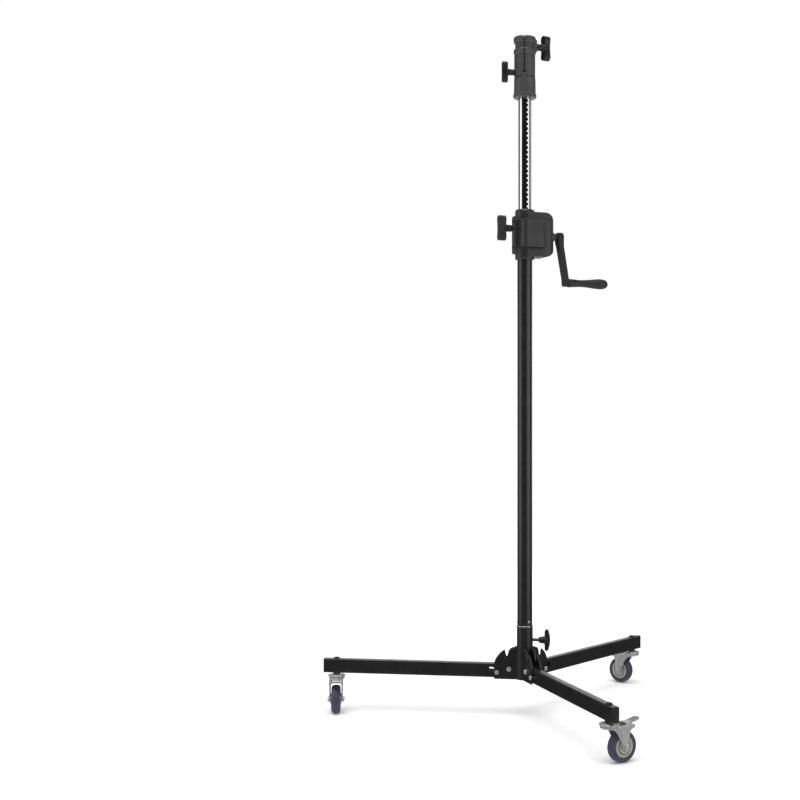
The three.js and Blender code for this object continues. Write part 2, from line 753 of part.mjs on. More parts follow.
function driveGear() {
  return spurGear(DRIVE_TEETH, GEAR_LINE + Math.PI + Math.PI / DRIVE_TEETH, 5 + GAP, CRANK_AXIS);
}

function pinionShaft() {
  const outlineXY = gearOutline(PINION_TEETH, [PINION_RADIUS - 2.5, PINION_RADIUS + 2], [2.9, 1.6]);
  const teeth = slabXY(outlineXY, -PINION_WIDTH / 2, PINION_WIDTH / 2);
  return join(
    alongX(teeth).translate(0, PINION_AXIS.y, PINION_AXIS.z),
    rodX(BOLT_RADIUS, -19, 42.5, PINION_AXIS.y, PINION_AXIS.z),
  );
}

function crankShaft() {
  const { y, z } = CRANK_AXIS;
  return join(
    rodX(5, 21.5, 105, y, z),
    rodX(9, GEARBOX.end + GAP, 88, y, z, 12),
  );
}

// Crank arm: a flat bar that steps outwards as it goes down, with the grip's stud at its end.
function crankArm() {
  const { y, z } = CRANK_AXIS;
  const side = outline([
    [HANDLE_START - 1, HANDLE_Z - 11],
    [HANDLE_START - 1, HANDLE_Z + 12],
    [104.5, z - 23],
    [104.5, z + 13],
    [88.5, z + 13],
    [88.5, z - 13],
    [92, z - 27],
    [107, HANDLE_Z + 10],
    [107, HANDLE_Z - 11],
  ]);
  const face = new THREE.Shape();
  face.absarc(y, z, 13, 0, Math.PI, false);
  face.absarc(y, HANDLE_Z, 10.5, Math.PI, 2 * Math.PI, false);
  const bar = common(slabXZ(side, y - 14, y + 14), slabYZ(face, 80, 130, 6));
  return join(
    cut(bar, rodX(5 + GAP, 80, 130, y, z)),
    rodX(BOLT_RADIUS, 112, HANDLE_END - 13, y, HANDLE_Z),
  );
}

function crankGrip() {
  const bore = BOLT_RADIUS + RUNNING_GAP;
  const start = HANDLE_START + GAP;
  const stations = [[11.5, 0], [10.9, 12], [9.6, 30], [9.8, 48], [12, 72], [13.8, 90], [13.2, 104]];
  const body = stations.map(([radius, x]) => [radius, start + x]);
  const nose = [[10, HANDLE_END - 5], [5, HANDLE_END - 1], [0, HANDLE_END]];
  const hollow = [[0, HANDLE_END - 12], [bore, HANDLE_END - 12], [bore, start]];
  const grip = turned([[bore, start], ...body, ...nose, ...hollow], DISC_SIDES);
  return alongX(grip).translate(0, CRANK_AXIS.y, HANDLE_Z);
}

// ---- riser and head ----
function riserTube() {
  const holes = [];
  const firstHole = Math.ceil((RISER_BOTTOM + 50 - PINION_AXIS.z) / RACK_PITCH);
  const lastHole = Math.floor((RISER_TOP - 44 - PINION_AXIS.z) / RACK_PITCH);
  for (let k = firstHole; k <= lastHole; k += 1) {
    const z = PINION_AXIS.z + k * RACK_PITCH;
    holes.push(block([-2.3, 2.3], [-RISER_RADIUS - 2, -10], [z - 4, z + 4]));
  }
  const wall = tube(RISER_RADIUS - RISER_WALL, RISER_RADIUS, RISER_BOTTOM, RISER_TOP, RISER_SIDES);
  return cut(wall, ...holes);
}

function riserFootPlug() {
  const inner = RISER_RADIUS - RISER_WALL - GAP;
  const shoulder = RISER_BOTTOM - GAP;
  const profile = [
    [0, shoulder - 6],
    [RISER_RADIUS, shoulder - 6],
    [RISER_RADIUS, shoulder],
    [inner, shoulder],
    [inner, shoulder + 25],
    [0, shoulder + 25],
  ];
  return turned(profile, RISER_SIDES);
}

// A flange around the barrel with chamfered sides.
function flange(bottom, top) {
  return [[25.5, bottom], [30, bottom + 2], [30, top - 2], [25.5, top]];
}

function headBody() {
  const outside = [
    [0, HEAD_BOTTOM],
    [30, HEAD_BOTTOM],
    [31, HEAD_BOTTOM + 2],
    [31, 1663],
    [29, 1665],
    [29, 1704],
    [25.5, 1708],
    ...flange(1769, 1784),
    [25.5, 1798],
    [30, 1800],
    [30, HEAD_TOP - 2],
    [28.5, HEAD_TOP],
    [0, HEAD_TOP],
  ];
  const body = join(
    turned(outside),
    radialBlock(SLIT_AZIMUTH - 3, [20, 31], 5.5, [1664, SLIT_BOTTOM - 5]),
    radialBlock(112, [15, 31], 11, [1696, 1774]),
    radialBlock(UPPER_KNOB.azimuth, [16, 34], 10, [1780, 1812]),
    radialBlock(UPPER_KNOB.azimuth, [16, 30.5], 5, [1692, 1786]),
    radialBlock(LOWER_KNOB.azimuth, [16, 27], 11, [LOWER_KNOB.z - 13, LOWER_KNOB.z + 13]),
  );
  return cut(
    body,
    cylinder(RISER_RADIUS + GAP, HEAD_BOTTOM - 1, RISER_TOP + GAP),
    cylinder(JUNIOR_RADIUS, JUNIOR_FLOOR, HEAD_TOP + 1),
    cylinder(BABY_RADIUS, BABY_FLOOR, HEAD_TOP),
    radialBlock(SLIT_AZIMUTH, [10, 36], 1.5, [SLIT_BOTTOM, HEAD_TOP + 1]),
    radialRod(SLIT_AZIMUTH, 4, 17, 36, SLIT_BOTTOM),
    radialRod(UPPER_KNOB.azimuth, BOLT_RADIUS + GAP, 10, 40, UPPER_KNOB.z),
    radialRod(LOWER_KNOB.azimuth, BOLT_RADIUS + GAP, 5, 40, LOWER_KNOB.z),
  );
}

function addColumnAndGearbox() {
  const column = tube(COLUMN_RADIUS - COLUMN_WALL, COLUMN_RADIUS, COLUMN_BOTTOM, COLUMN_TOP);
  piece("main_column", column, blackPaint);
  piece("gear_housing", gearHousing(), castGrey);
  piece("gear_cover", gearCover(), castGrey);
  COVER_SCREWS.forEach((place, i) => {
    piece(`gear_cover_screw_${i + 1}`, coverScrew(place), blackPlastic);
  });
  piece("gear_cover_cap", coverCap(), castGrey);
  piece("riser_bushing", riserBushing(), nylon);
  piece("brake_pad_block", brakePadBlock(), castGrey);
  piece("brake_shoe", brakeShoe(), nylon);
  piece("driven_gear", drivenGear(), steel);
  piece("drive_gear", driveGear(), brass);
  piece("pinion_shaft", pinionShaft(), steel);
  piece("crank_shaft", crankShaft(), blackPaint);
  piece("crank_arm", crankArm(), blackPaint);
  piece("crank_grip", crankGrip(), blackPlastic);
}

function addRiserAndHead() {
  piece("riser_tube", riserTube(), chrome);
  piece("riser_foot_plug", riserFootPlug(), nylon);
  piece("head_body", headBody(), castGrey);
}

addBase();
addColumnAndGearbox();
addRiserAndHead();
addTurned("base_clamp_knob", baseKnob(), BASE_KNOB.azimuth);
addTurned("riser_brake_knob", brakeKnob(), 180);
addTurned("upper_head_knob", upperHeadKnob(), UPPER_KNOB.azimuth);
addTurned("lower_head_knob", lowerHeadKnob(), LOWER_KNOB.azimuth);

export default stand;
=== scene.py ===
"""Looks of the crank lighting stand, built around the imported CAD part.

Each visible CAD node gets a finer shape with the same size and place, and a procedural material.
Shapes are made in millimetres, in the frame of the column, a leg or a caster, which is measured
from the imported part.
"""

import json
import math

import bmesh
import bpy
from mathutils import Matrix, Vector

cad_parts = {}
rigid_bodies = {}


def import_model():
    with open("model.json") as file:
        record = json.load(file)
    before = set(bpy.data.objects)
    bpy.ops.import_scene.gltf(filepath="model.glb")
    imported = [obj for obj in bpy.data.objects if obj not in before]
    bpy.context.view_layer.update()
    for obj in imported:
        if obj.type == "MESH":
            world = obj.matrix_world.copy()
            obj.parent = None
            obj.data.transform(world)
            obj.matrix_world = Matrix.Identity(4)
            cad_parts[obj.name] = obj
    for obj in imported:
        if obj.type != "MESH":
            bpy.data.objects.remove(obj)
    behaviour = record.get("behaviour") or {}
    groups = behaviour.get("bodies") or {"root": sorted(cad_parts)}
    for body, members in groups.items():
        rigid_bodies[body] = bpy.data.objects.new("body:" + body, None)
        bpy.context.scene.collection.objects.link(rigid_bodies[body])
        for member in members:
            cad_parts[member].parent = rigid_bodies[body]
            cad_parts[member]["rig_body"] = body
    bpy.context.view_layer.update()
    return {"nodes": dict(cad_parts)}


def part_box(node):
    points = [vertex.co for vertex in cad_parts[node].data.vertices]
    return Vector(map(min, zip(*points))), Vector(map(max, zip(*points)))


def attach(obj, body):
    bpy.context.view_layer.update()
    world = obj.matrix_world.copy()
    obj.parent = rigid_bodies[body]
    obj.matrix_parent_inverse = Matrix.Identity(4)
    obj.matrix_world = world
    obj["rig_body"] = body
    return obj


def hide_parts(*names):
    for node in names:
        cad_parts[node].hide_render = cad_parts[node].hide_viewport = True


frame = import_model()
NODES = frame["nodes"]

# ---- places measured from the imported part, in millimetres ----
MM = 0.001


def span(node):
    low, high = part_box(node)
    return low / MM, high / MM


def middle(node):
    low, high = span(node)
    return (low + high) / 2


AXIS = middle("main_column") * Vector((1, 1, 0))  # the column's axis, on the floor
COLUMN_BOTTOM, COLUMN_TOP = (corner.z for corner in span("main_column"))
RISER_BOTTOM, RISER_TOP = (corner.z for corner in span("riser_tube"))
HEAD_BOTTOM, HEAD_TOP = (corner.z for corner in span("head_body"))
HOUSING_BOTTOM, HOUSING_TOP = (corner.z for corner in span("gear_housing"))
PINION = middle("driven_gear") - AXIS
CRANK = middle("drive_gear") - AXIS
GRIP = [corner - AXIS for corner in span("crank_grip")]
GRIP_Z = middle("crank_grip").z
STAND = Matrix.Translation((AXIS.x, AXIS.y, 0))
LEGS = ("front", "right", "left")


def heading(from_point, to_point):
    return math.atan2(to_point.y - from_point.y, to_point.x - from_point.x)


def at(point, angle):
    """A frame on the floor under a point, its X turned to an angle in radians."""
    return Matrix.Translation((point.x, point.y, 0)) @ Matrix.Rotation(angle, 4, "Z")


def leg_frame(leg):
    return at(AXIS, heading(AXIS, middle(f"{leg}_caster_stem")))


def caster_frame(leg):
    stem = middle(f"{leg}_caster_stem")
    return at(stem, heading(stem, middle(f"{leg}_tyre")))


def turned_frame(degrees):
    return at(AXIS, math.radians(degrees))


# ---- sizes, in millimetres ----
ROUND = 96  # sides of a large round piece
SMALL_ROUND = 40  # sides of bolts and pins
GAP = 0.3  # clearance between neighbouring pieces
BOLT_HOLE = 4.3
CREASE = 32  # degrees at which an edge shows as sharp

COLUMN_RADIUS = 20
COLUMN_BORE = 18.2
SOCKET_RADIUS = 21.3
SOCKET_TOP = 238
RING_BOTTOM, RING_TOP = 238.3, 242.3
SCREW_HEIGHT = 253
RISER_RADIUS = 17.5
RISER_BORE = 15.7
RACK_PITCH = 4 * math.pi
RACK_HOLE = (4.6, 8)

PIVOT = Vector((41, 126))
LOCK_OPEN = Vector((74, 116.5))
LOCK_FOLDED = Vector((49.5, 160.5))
PIN_RADIUS = 3.5
CHEEK = (10.5, 13.5)
CHEEK_BOTTOM, CHEEK_END, CHEEK_TOP = 99, 81.5, 186
SHOULDER = Vector((35, 132))
SHOULDER_RADIUS = 47

LEG_HALF, LEG_WALL = 10, 2
LEG_BOTTOM, LEG_TOP = 102, 140
LEG_START, LEG_END = 33, 550
STEM_REACH = 519

TRAIL = 38
WHEEL_RADIUS = 37.5
WHEEL_HALF = 11.5
CORE_RADIUS = 25.5
FORK_INNER, FORK_OUTER = 15, 17.5
PEDAL_PIVOT = Vector((54, 85))

COLLAR_RADIUS = 26
CASING_BOTTOM, CASING_TOP, CASING_END = 1228, 1347, 81
CASING_FRONT, CASING_REAR, CASING_WALL = -26, 24, 4
CASING_CORNER = 33  # in side view
CASING_NOSE = 26  # in plan, at the front outer corner
BULGE_LEFT, BULGE_RIGHT, BULGE_FRONT, BULGE_REAR = -25, 45, -49, -13
BULGE_BOTTOM, BULGE_TOP, BULGE_WALL = 1251, 1325, 3.5
GROOVE_HALF = 0.9
GEAR_SPACE = (29.5, 39)
SHOE_SPACE = 19.9  # half its height
BUSHING_BOTTOM = 1326
COVER_SCREWS = ((38, 1337.5), (38, 1237.5), (71, 1308), (71, 1267))
BRAKE_BOLTS = (1322, 1252)
JUNIOR_RADIUS, BABY_RADIUS = 14.3, 8.2
JUNIOR_FLOOR, BABY_FLOOR = 1740, 1697
SLIT_AZIMUTH = -115
SLIT_BOTTOM = 1721
UPPER_KNOB_Z, LOWER_KNOB_Z = 1796, 1721
UPPER_KNOB_AZIMUTH, LOWER_KNOB_AZIMUTH = 10, 171
BASE_KNOB_Z, BASE_KNOB_AZIMUTH = 204, -30
BRAKE_Z = 1303
SET_SCREW_Z, SET_SCREW_AZIMUTH = 1657.5, -86


# ---- outlines ----
def fillet(points, radius=0.0, closed=True, steps=4):
    """An outline with round corners. A point's third value is that corner's own radius."""
    rounded = []
    for i, point in enumerate(points):
        corner = Vector(point[:2])
        size = point[2] if len(point) > 2 else radius
        at_end = not closed and i in (0, len(points) - 1)
        if size <= 0 or at_end:
            rounded.append(tuple(corner))
            continue
        before = Vector(points[i - 1][:2]) - corner
        after = Vector(points[(i + 1) % len(points)][:2]) - corner
        half = before.angle(after) / 2
        if half > math.radians(89):
            rounded.append(tuple(corner))
            continue
        room = 0.48 * min(before.length, after.length)
        reach = min(size / math.tan(half), room)
        before.normalize()
        after.normalize()
        centre = corner + (before + after).normalized() * reach / math.cos(half)
        first = corner + before * reach - centre
        last = corner + after * reach - centre
        sweep = math.pi - 2 * half
        for k in range(steps + 1):
            share = k / steps
            near = math.sin((1 - share) * sweep) / math.sin(sweep)
            far = math.sin(share * sweep) / math.sin(sweep)
            rounded.append(tuple(centre + first * near + last * far))
    return rounded


def arc(centre, radius, start, end, steps):
    """Points on an arc, from a start to an end angle in degrees."""
    angles = [math.radians(start + (end - start) * k / steps) for k in range(steps + 1)]
    return [(centre[0] + radius * math.cos(a), centre[1] + radius * math.sin(a)) for a in angles]


def rectangle(x0, x1, y0, y1, corner=0.0, steps=5):
    return fillet([(x0, y0), (x1, y0), (x1, y1), (x0, y1)], corner, steps=steps)


def slot_outline(a, b, radius, steps=10):
    """A slot with round ends between two points."""
    along = math.degrees(math.atan2(b[1] - a[1], b[0] - a[0]))
    far = arc(b, radius, along - 90, along + 90, steps)
    return far + arc(a, radius, along + 90, along + 270, steps)


def eased(points, steps=6):
    """A smooth curve through points, as a Catmull-Rom line."""
    path = []
    vectors = [Vector(p) for p in points]
    for i in range(len(vectors) - 1):
        p0, p1, p2 = vectors[max(i - 1, 0)], vectors[i], vectors[i + 1]
        p3 = vectors[min(i + 2, len(vectors) - 1)]
        for k in range(steps):
            t = k / steps
            along = 2 * p1 + (p2 - p0) * t
            bend = (2 * p0 - 5 * p1 + 4 * p2 - p3) * t**2
            twist = (3 * p1 - p0 - 3 * p2 + p3) * t**3
            path.append(tuple((along + bend + twist) / 2))
    path.append(tuple(vectors[-1]))
    return path


# ---- solids, as meshes in millimetres ----
Z_TO_X = Matrix(((0, 0, 1), (1, 0, 0), (0, 1, 0))).to_4x4()
Z_TO_BACK = Matrix.Rotation(math.pi / 2, 4, "X")


def solid(bm):
    bmesh.ops.recalc_face_normals(bm, faces=bm.faces)
    mesh = bpy.data.meshes.new("solid")
    bm.to_mesh(mesh)
    bm.free()
    return mesh


def moved(mesh, matrix):
    mesh.transform(matrix)
    return mesh


def lathe(profile, sides=ROUND):
    """A solid of revolution about Z. A profile that doesn't start on the axis is closed on itself."""
    bm = bmesh.new()
    rings = []
    for radius, z in profile:
        count = sides if radius > 1e-6 else 1
        angles = [2 * math.pi * k / sides for k in range(count)]
        rings.append([bm.verts.new((radius * math.cos(a), radius * math.sin(a), z)) for a in angles])
    if profile[0][0] > 1e-6:
        rings.append(rings[0])
    for low, high in zip(rings, rings[1:]):
        for i in range(sides):
            j = (i + 1) % sides
            corners = [low[i % len(low)], low[j % len(low)], high[j % len(high)], high[i % len(high)]]
            face = list(dict.fromkeys(corners))
            if len(face) > 2:
                bm.faces.new(face)
    return solid(bm)


def rod(radius, low, high, edge=0.4, sides=SMALL_ROUND):
    profile = fillet([(0, low), (radius, low, edge), (radius, high, edge), (0, high)], closed=False)
    return lathe(profile, sides)


def prism(outline, low, high, edge=0.0, steps=3):
    """An outline in XY given thickness along Z, with its rim rounded by edge."""
    bm = bmesh.new()
    base = [bm.verts.new((x, y, low)) for x, y in outline]
    top = [bm.verts.new((x, y, high)) for x, y in outline]
    bm.faces.new(base)
    bm.faces.new(top)
    for i in range(len(outline)):
        j = (i + 1) % len(outline)
        bm.faces.new((base[i], base[j], top[j], top[i]))
    bmesh.ops.recalc_face_normals(bm, faces=bm.faces)
    if edge:
        rim = [e for e in bm.edges if abs(e.verts[0].co.z - e.verts[1].co.z) < 1e-6]
        shape = {"offset": edge, "segments": steps, "profile": 0.5, "affect": "EDGES"}
        bmesh.ops.bevel(bm, geom=rim, clamp_overlap=True, **shape)
    return solid(bm)


def upright(outline, near, far, edge=0.0, steps=3):
    """An outline in XZ given thickness along Y."""
    return moved(prism(outline, -far, -near, edge, steps), Z_TO_BACK)


def sideways(outline, near, far, edge=0.0, steps=3):
    """An outline in YZ given thickness along X."""
    return moved(prism(outline, near, far, edge, steps), Z_TO_X)


def block(x, y, z, corner=0.0):
    """A box from three ranges, its upright edges and rims rounded by corner."""
    return prism(rectangle(*x, *y, corner, 3), *z, 0.6 * corner, 3)


def across(mesh, x, z):
    """A solid along Z laid along Y, at a place in XZ."""
    return moved(mesh, Matrix.Translation((x, 0, z)) @ Z_TO_BACK)


def along(mesh, y, z):
    """A solid along Z laid along X, at a place in YZ."""
    return moved(mesh, Matrix.Translation((0, y, z)) @ Z_TO_X)


def spun(mesh, degrees):
    return moved(mesh, Matrix.Rotation(math.radians(degrees), 4, "Z"))


def combined(base, tools, operation):
    scene = bpy.context.scene
    holder = bpy.data.objects.new("base", base)
    scene.collection.objects.link(holder)
    helpers = [holder]
    for tool in tools:
        helper = bpy.data.objects.new("tool", tool)
        scene.collection.objects.link(helper)
        helpers.append(helper)
        step = holder.modifiers.new("step", "BOOLEAN")
        step.operation = operation
        step.solver = "MANIFOLD"
        step.object = helper
    graph = bpy.context.evaluated_depsgraph_get()
    result = bpy.data.meshes.new_from_object(holder.evaluated_get(graph))
    for helper in helpers:
        bpy.data.objects.remove(helper)
    return result


def union(base, *tools):
    return combined(base, tools, "UNION")


def cut(base, *tools):
    return combined(base, tools, "DIFFERENCE")


def clipped(base, *tools):
    return combined(base, tools, "INTERSECT")


def together(*meshes):
    """Meshes as one, each still its own closed shell."""
    bm = bmesh.new()
    for mesh in meshes:
        bm.from_mesh(mesh)
    merged = bpy.data.meshes.new("solid")
    bm.to_mesh(merged)
    bm.free()
    return merged


# ---- materials ----
LOOKS = {}


def add(tree, kind, values=None, **settings):
    node = tree.nodes.new("ShaderNode" + kind)
    for key, value in settings.items():
        setattr(node, key, value)
    for key, value in (values or {}).items():
        if isinstance(value, bpy.types.NodeSocket):
            tree.links.new(value, node.inputs[key])
        else:
            node.inputs[key].default_value = value
    return node


def stretched(tree, stretch):
    """Object coordinates in metres, stretched along each axis."""
    place = add(tree, "TexCoord").outputs["Object"]
    return add(tree, "Mapping", {"Vector": place, "Scale": stretch}).outputs[0]


def noise(tree, place, scale, detail=3.0, roughness=0.55):
    values = {"Vector": place, "Scale": scale, "Detail": detail, "Roughness": roughness}
    return add(tree, "TexNoise", values).outputs[0]


def ranged(tree, value, low, high, start=0.3, end=0.7):
    values = {"Value": value, "From Min": start, "From Max": end, "To Min": low, "To Max": high}
    return add(tree, "MapRange", values).outputs[0]


def blended(tree, share, first, second):
    """A colour between two, each a colour or a socket."""
    node = add(tree, "Mix", data_type="RGBA")
    for index, value in ((0, share), (6, first), (7, second)):
        if isinstance(value, bpy.types.NodeSocket):
            tree.links.new(value, node.inputs[index])
        else:
            node.inputs[index].default_value = value if index == 0 else (*value, 1)
    return node.outputs[2]


def times(tree, first, second, operation="MULTIPLY"):
    return add(tree, "Math", {0: first, 1: second}, operation=operation).outputs[0]


def edges(tree, radius):
    """1 along outward and inward edges within a radius in metres, 0 on open surface."""
    bevel = add(tree, "Bevel", {"Radius": radius}, samples=4).outputs[0]
    normal = add(tree, "NewGeometry").outputs["Normal"]
    dot = add(tree, "VectorMath", {0: bevel, 1: normal}, operation="DOT_PRODUCT").outputs["Value"]
    return ranged(tree, dot, 1.0, 0.0, 0.82, 0.985)


def relief(tree, layers):
    """A normal from height layers, each a socket with its depth in metres."""
    normal = None
    for height, depth in layers:
        values = {"Height": height, "Distance": depth, "Strength": 1.0}
        if normal is not None:
            values["Normal"] = normal
        normal = add(tree, "Bump", values).outputs[0]
    return normal


def look(name, metallic=0.0, **sockets):
    """Starts a material; sockets are values set on the shader itself."""
    material = bpy.data.materials.new(name)
    material.use_nodes = True
    shader = material.node_tree.nodes["Principled BSDF"]
    shader.inputs["Metallic"].default_value = metallic
    for key, value in sockets.items():
        shader.inputs[key.replace("_", " ")].default_value = value
    LOOKS[name] = material
    return material.node_tree, shader


def feed(tree, shader, colour, roughness, normal):
    tree.links.new(colour, shader.inputs["Base Color"])
    tree.links.new(roughness, shader.inputs["Roughness"])
    tree.links.new(normal, shader.inputs["Normal"])


def black_powder_coat():
    """Satin powder coat: fine orange peel, faint dust mottling and lighter edges, partly rubbed wear and
    partly a painted edge highlight.
    """
    tree, shader = look("black_powder_coat", Specular_IOR_Level=0.85)
    place = stretched(tree, (1, 1, 1))
    peel = noise(tree, place, 900, 2)
    cloud = noise(tree, place, 22, 4)
    # Painted edge highlight: the colour is lightened along edges, partly for rubbed wear and partly for
    # light catching them.
    wear_and_edge_highlight = times(tree, edges(tree, 0.0012), ranged(tree, noise(tree, place, 160, 4), 0.15, 1))
    colour = blended(tree, ranged(tree, cloud, 0, 1), (0.0075, 0.0075, 0.0082), (0.013, 0.013, 0.014))
    colour = blended(tree, times(tree, wear_and_edge_highlight, 0.5), colour, (0.075, 0.075, 0.08))
    roughness = ranged(tree, noise(tree, place, 70, 5), 0.27, 0.38)
    feed(tree, shader, colour, roughness, relief(tree, [(peel, 0.00006), (cloud, 0.00008)]))


def cast_grey(name, dark, light, gloss):
    """Painted die casting: grainy grey with soft mottling and lighter corners, partly worn and partly a
    painted edge highlight.
    """
    tree, shader = look(name)
    place = stretched(tree, (1, 1, 1))
    grain = noise(tree, place, 1300, 3, 0.7)
    cloud = noise(tree, place, 35, 5)
    # Painted edge highlight: the colour is lightened along edges, partly for wear and partly for light
    # catching them.
    wear_and_edge_highlight = times(tree, edges(tree, 0.0013), ranged(tree, noise(tree, place, 210, 5), 0.1, 1))
    colour = blended(tree, ranged(tree, cloud, 0, 1), dark, light)
    colour = blended(tree, times(tree, wear_and_edge_highlight, 0.45), colour, (0.15, 0.15, 0.155))
    roughness = ranged(tree, noise(tree, place, 110, 4), gloss, gloss + 0.14)
    feed(tree, shader, colour, roughness, relief(tree, [(grain, 0.00006), (cloud, 0.00012)]))


def dark_bore():
    """Metal inside the riser: dull, dark brown-black and streaked along the tube."""
    tree, shader = look("dark_bore", metallic=0.6)
    streak = noise(tree, stretched(tree, (160, 160, 25)), 1, 4)
    colour = blended(tree, ranged(tree, streak, 0, 1), (0.02, 0.018, 0.016), (0.05, 0.046, 0.042))
    feed(tree, shader, colour, ranged(tree, streak, 0.5, 0.75), relief(tree, [(streak, 0.00005)]))


def crank_black():
    """Flatter black paint on the crank's bar, with hammer-like mottling and lighter corners, partly rubbed
    wear and partly a painted edge highlight.
    """
    tree, shader = look("crank_black", Specular_IOR_Level=0.4)
    place = stretched(tree, (1, 1, 1))
    mottle = noise(tree, place, 260, 3)
    # Painted edge highlight: the colour is lightened along edges, partly for rubbed wear and partly for
    # light catching them.
    wear_and_edge_highlight = times(tree, edges(tree, 0.001), ranged(tree, noise(tree, place, 190, 4), 0.1, 1))
    colour = blended(tree, ranged(tree, mottle, 0, 1), (0.007, 0.007, 0.008), (0.012, 0.012, 0.013))
    colour = blended(tree, times(tree, wear_and_edge_highlight, 0.4), colour, (0.07, 0.07, 0.075))
    feed(tree, shader, colour, ranged(tree, mottle, 0.34, 0.5), relief(tree, [(mottle, 0.00007)]))


def black_plastic():
    """Moulded plastic: spark-eroded grain, lighter in colour along its edges as a painted sheen standing
    for the gloss of handling.
    """
    tree, shader = look("black_plastic")
    place = stretched(tree, (1, 1, 1))
    grain = add(tree, "TexVoronoi", {"Vector": place, "Scale": 1400.0}).outputs["Distance"]
    cloud = noise(tree, place, 45, 4)
    colour = blended(tree, ranged(tree, cloud, 0, 1), (0.009, 0.009, 0.01), (0.016, 0.016, 0.017))
    # Painted sheen: the colour is lightened along edges and corners to stand for light catching handled
    # plastic.
    colour = blended(tree, times(tree, edges(tree, 0.0009), 0.35), colour, (0.06, 0.06, 0.062))
    roughness = ranged(tree, cloud, 0.3, 0.48)
    feed(tree, shader, colour, roughness, relief(tree, [(grain, 0.00005)]))


def chrome():
    """Bright plating with fine lines along the tube and faint handling haze."""
    tree, shader = look("chrome", metallic=1.0)
    lines = noise(tree, stretched(tree, (1400, 1400, 12)), 1, 3)
    haze = noise(tree, stretched(tree, (1, 1, 1)), 28, 5)
    colour = blended(tree, ranged(tree, haze, 0, 1), (0.76, 0.77, 0.79), (0.86, 0.87, 0.88))
    roughness = ranged(tree, haze, 0.05, 0.13)
    feed(tree, shader, colour, roughness, relief(tree, [(lines, 0.00001), (haze, 0.00004)]))


def bright_zinc():
    """Zinc plate on pressed steel: milky blotches, a warm and cool tint and dull scuffs."""
    tree, shader = look("bright_zinc", metallic=0.72)
    place = stretched(tree, (1, 1, 1))
    blotch = noise(tree, place, 130, 5, 0.6)
    tint = noise(tree, place, 38, 3)
    scuff = noise(tree, stretched(tree, (500, 90, 500)), 1, 4)
    colour = blended(tree, ranged(tree, blotch, 0, 1), (0.52, 0.52, 0.53), (0.68, 0.675, 0.67))
    colour = blended(tree, ranged(tree, tint, 0, 0.35), colour, (0.5, 0.47, 0.52))
    roughness = ranged(tree, blotch, 0.3, 0.46)
    feed(tree, shader, colour, roughness, relief(tree, [(scuff, 0.00003), (blotch, 0.00006)]))


def turned_metal(name, dark, light):
    """Machined metal: fine tool marks and a slightly oily sheen."""
    tree, shader = look(name, metallic=1.0)
    marks = noise(tree, stretched(tree, (2600, 300, 300)), 1, 3)
    oil = noise(tree, stretched(tree, (1, 1, 1)), 60, 4)
    colour = blended(tree, ranged(tree, oil, 0, 1), dark, light)
    roughness = ranged(tree, oil, 0.22, 0.42)
    feed(tree, shader, colour, roughness, relief(tree, [(marks, 0.00003)]))


def nylon():
    """Moulded nylon, dark and waxy."""
    tree, shader = look("nylon", Subsurface_Weight=0.05)
    place = stretched(tree, (1, 1, 1))
    cloud = noise(tree, place, 90, 4)
    colour = blended(tree, ranged(tree, cloud, 0, 1), (0.018, 0.018, 0.019), (0.034, 0.034, 0.035))
    feed(tree, shader, colour, ranged(tree, cloud, 0.42, 0.6), relief(tree, [(cloud, 0.00008)]))


def wheel_core():
    """Khaki-grey moulded core with flow marks, darker in patches along its edges and corners."""
    tree, shader = look("wheel_core")
    place = stretched(tree, (1, 1, 1))
    flow = noise(tree, place, 75, 5, 0.65)
    # Darkens the colour in patches along edges and corners.
    darker_edges = times(tree, edges(tree, 0.0016), ranged(tree, noise(tree, place, 240, 3), 0.2, 1))
    colour = blended(tree, ranged(tree, flow, 0, 1), (0.27, 0.27, 0.2), (0.36, 0.355, 0.275))
    colour = blended(tree, times(tree, darker_edges, 0.35), colour, (0.1, 0.095, 0.075))
    roughness = ranged(tree, flow, 0.42, 0.6)
    feed(tree, shader, colour, roughness, relief(tree, [(flow, 0.0001)]))


def tyre():
    """Blue-grey elastomer: matt tread with fine scuffs and a dusty bloom."""
    tree, shader = look("tyre")
    place = stretched(tree, (1, 1, 1))
    scuff = noise(tree, place, 700, 4, 0.7)
    bloom = noise(tree, place, 55, 5)
    colour = blended(tree, ranged(tree, bloom, 0, 1), (0.022, 0.027, 0.062), (0.05, 0.056, 0.092))
    colour = blended(tree, ranged(tree, scuff, 0, 0.3, 0.55, 0.75), colour, (0.13, 0.13, 0.14))
    roughness = ranged(tree, scuff, 0.45, 0.66)
    feed(tree, shader, colour, roughness, relief(tree, [(scuff, 0.00009), (bloom, 0.00012)]))


black_powder_coat()
cast_grey("cast_grey", (0.019, 0.019, 0.021), (0.03, 0.03, 0.033), 0.33)
cast_grey("head_grey", (0.046, 0.046, 0.049), (0.066, 0.066, 0.07), 0.28)
dark_bore()
crank_black()
black_plastic()
chrome()
bright_zinc()
turned_metal("machined_steel", (0.48, 0.48, 0.5), (0.66, 0.66, 0.68))
turned_metal("brass", (0.45, 0.31, 0.1), (0.62, 0.46, 0.18))
nylon()
wheel_core()
tyre()


def piece(name, mesh, finish, body, matrix=STAND):
    """A finished mesh, in millimetres in a frame, as an object that moves with a CAD body."""
    mesh.transform(Matrix.Scale(MM, 4) @ matrix)
    mesh.name = name
    mesh.materials.clear()
    mesh.materials.append(LOOKS[finish])
    mesh.shade_smooth()
    mesh.set_sharp_from_angle(angle=math.radians(CREASE))
    obj = bpy.data.objects.new(name, mesh)
    bpy.context.scene.collection.objects.link(obj)
    weighted = obj.modifiers.new("flat faces", "WEIGHTED_NORMAL")
    weighted.keep_sharp = True
    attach(obj, body)
    return obj


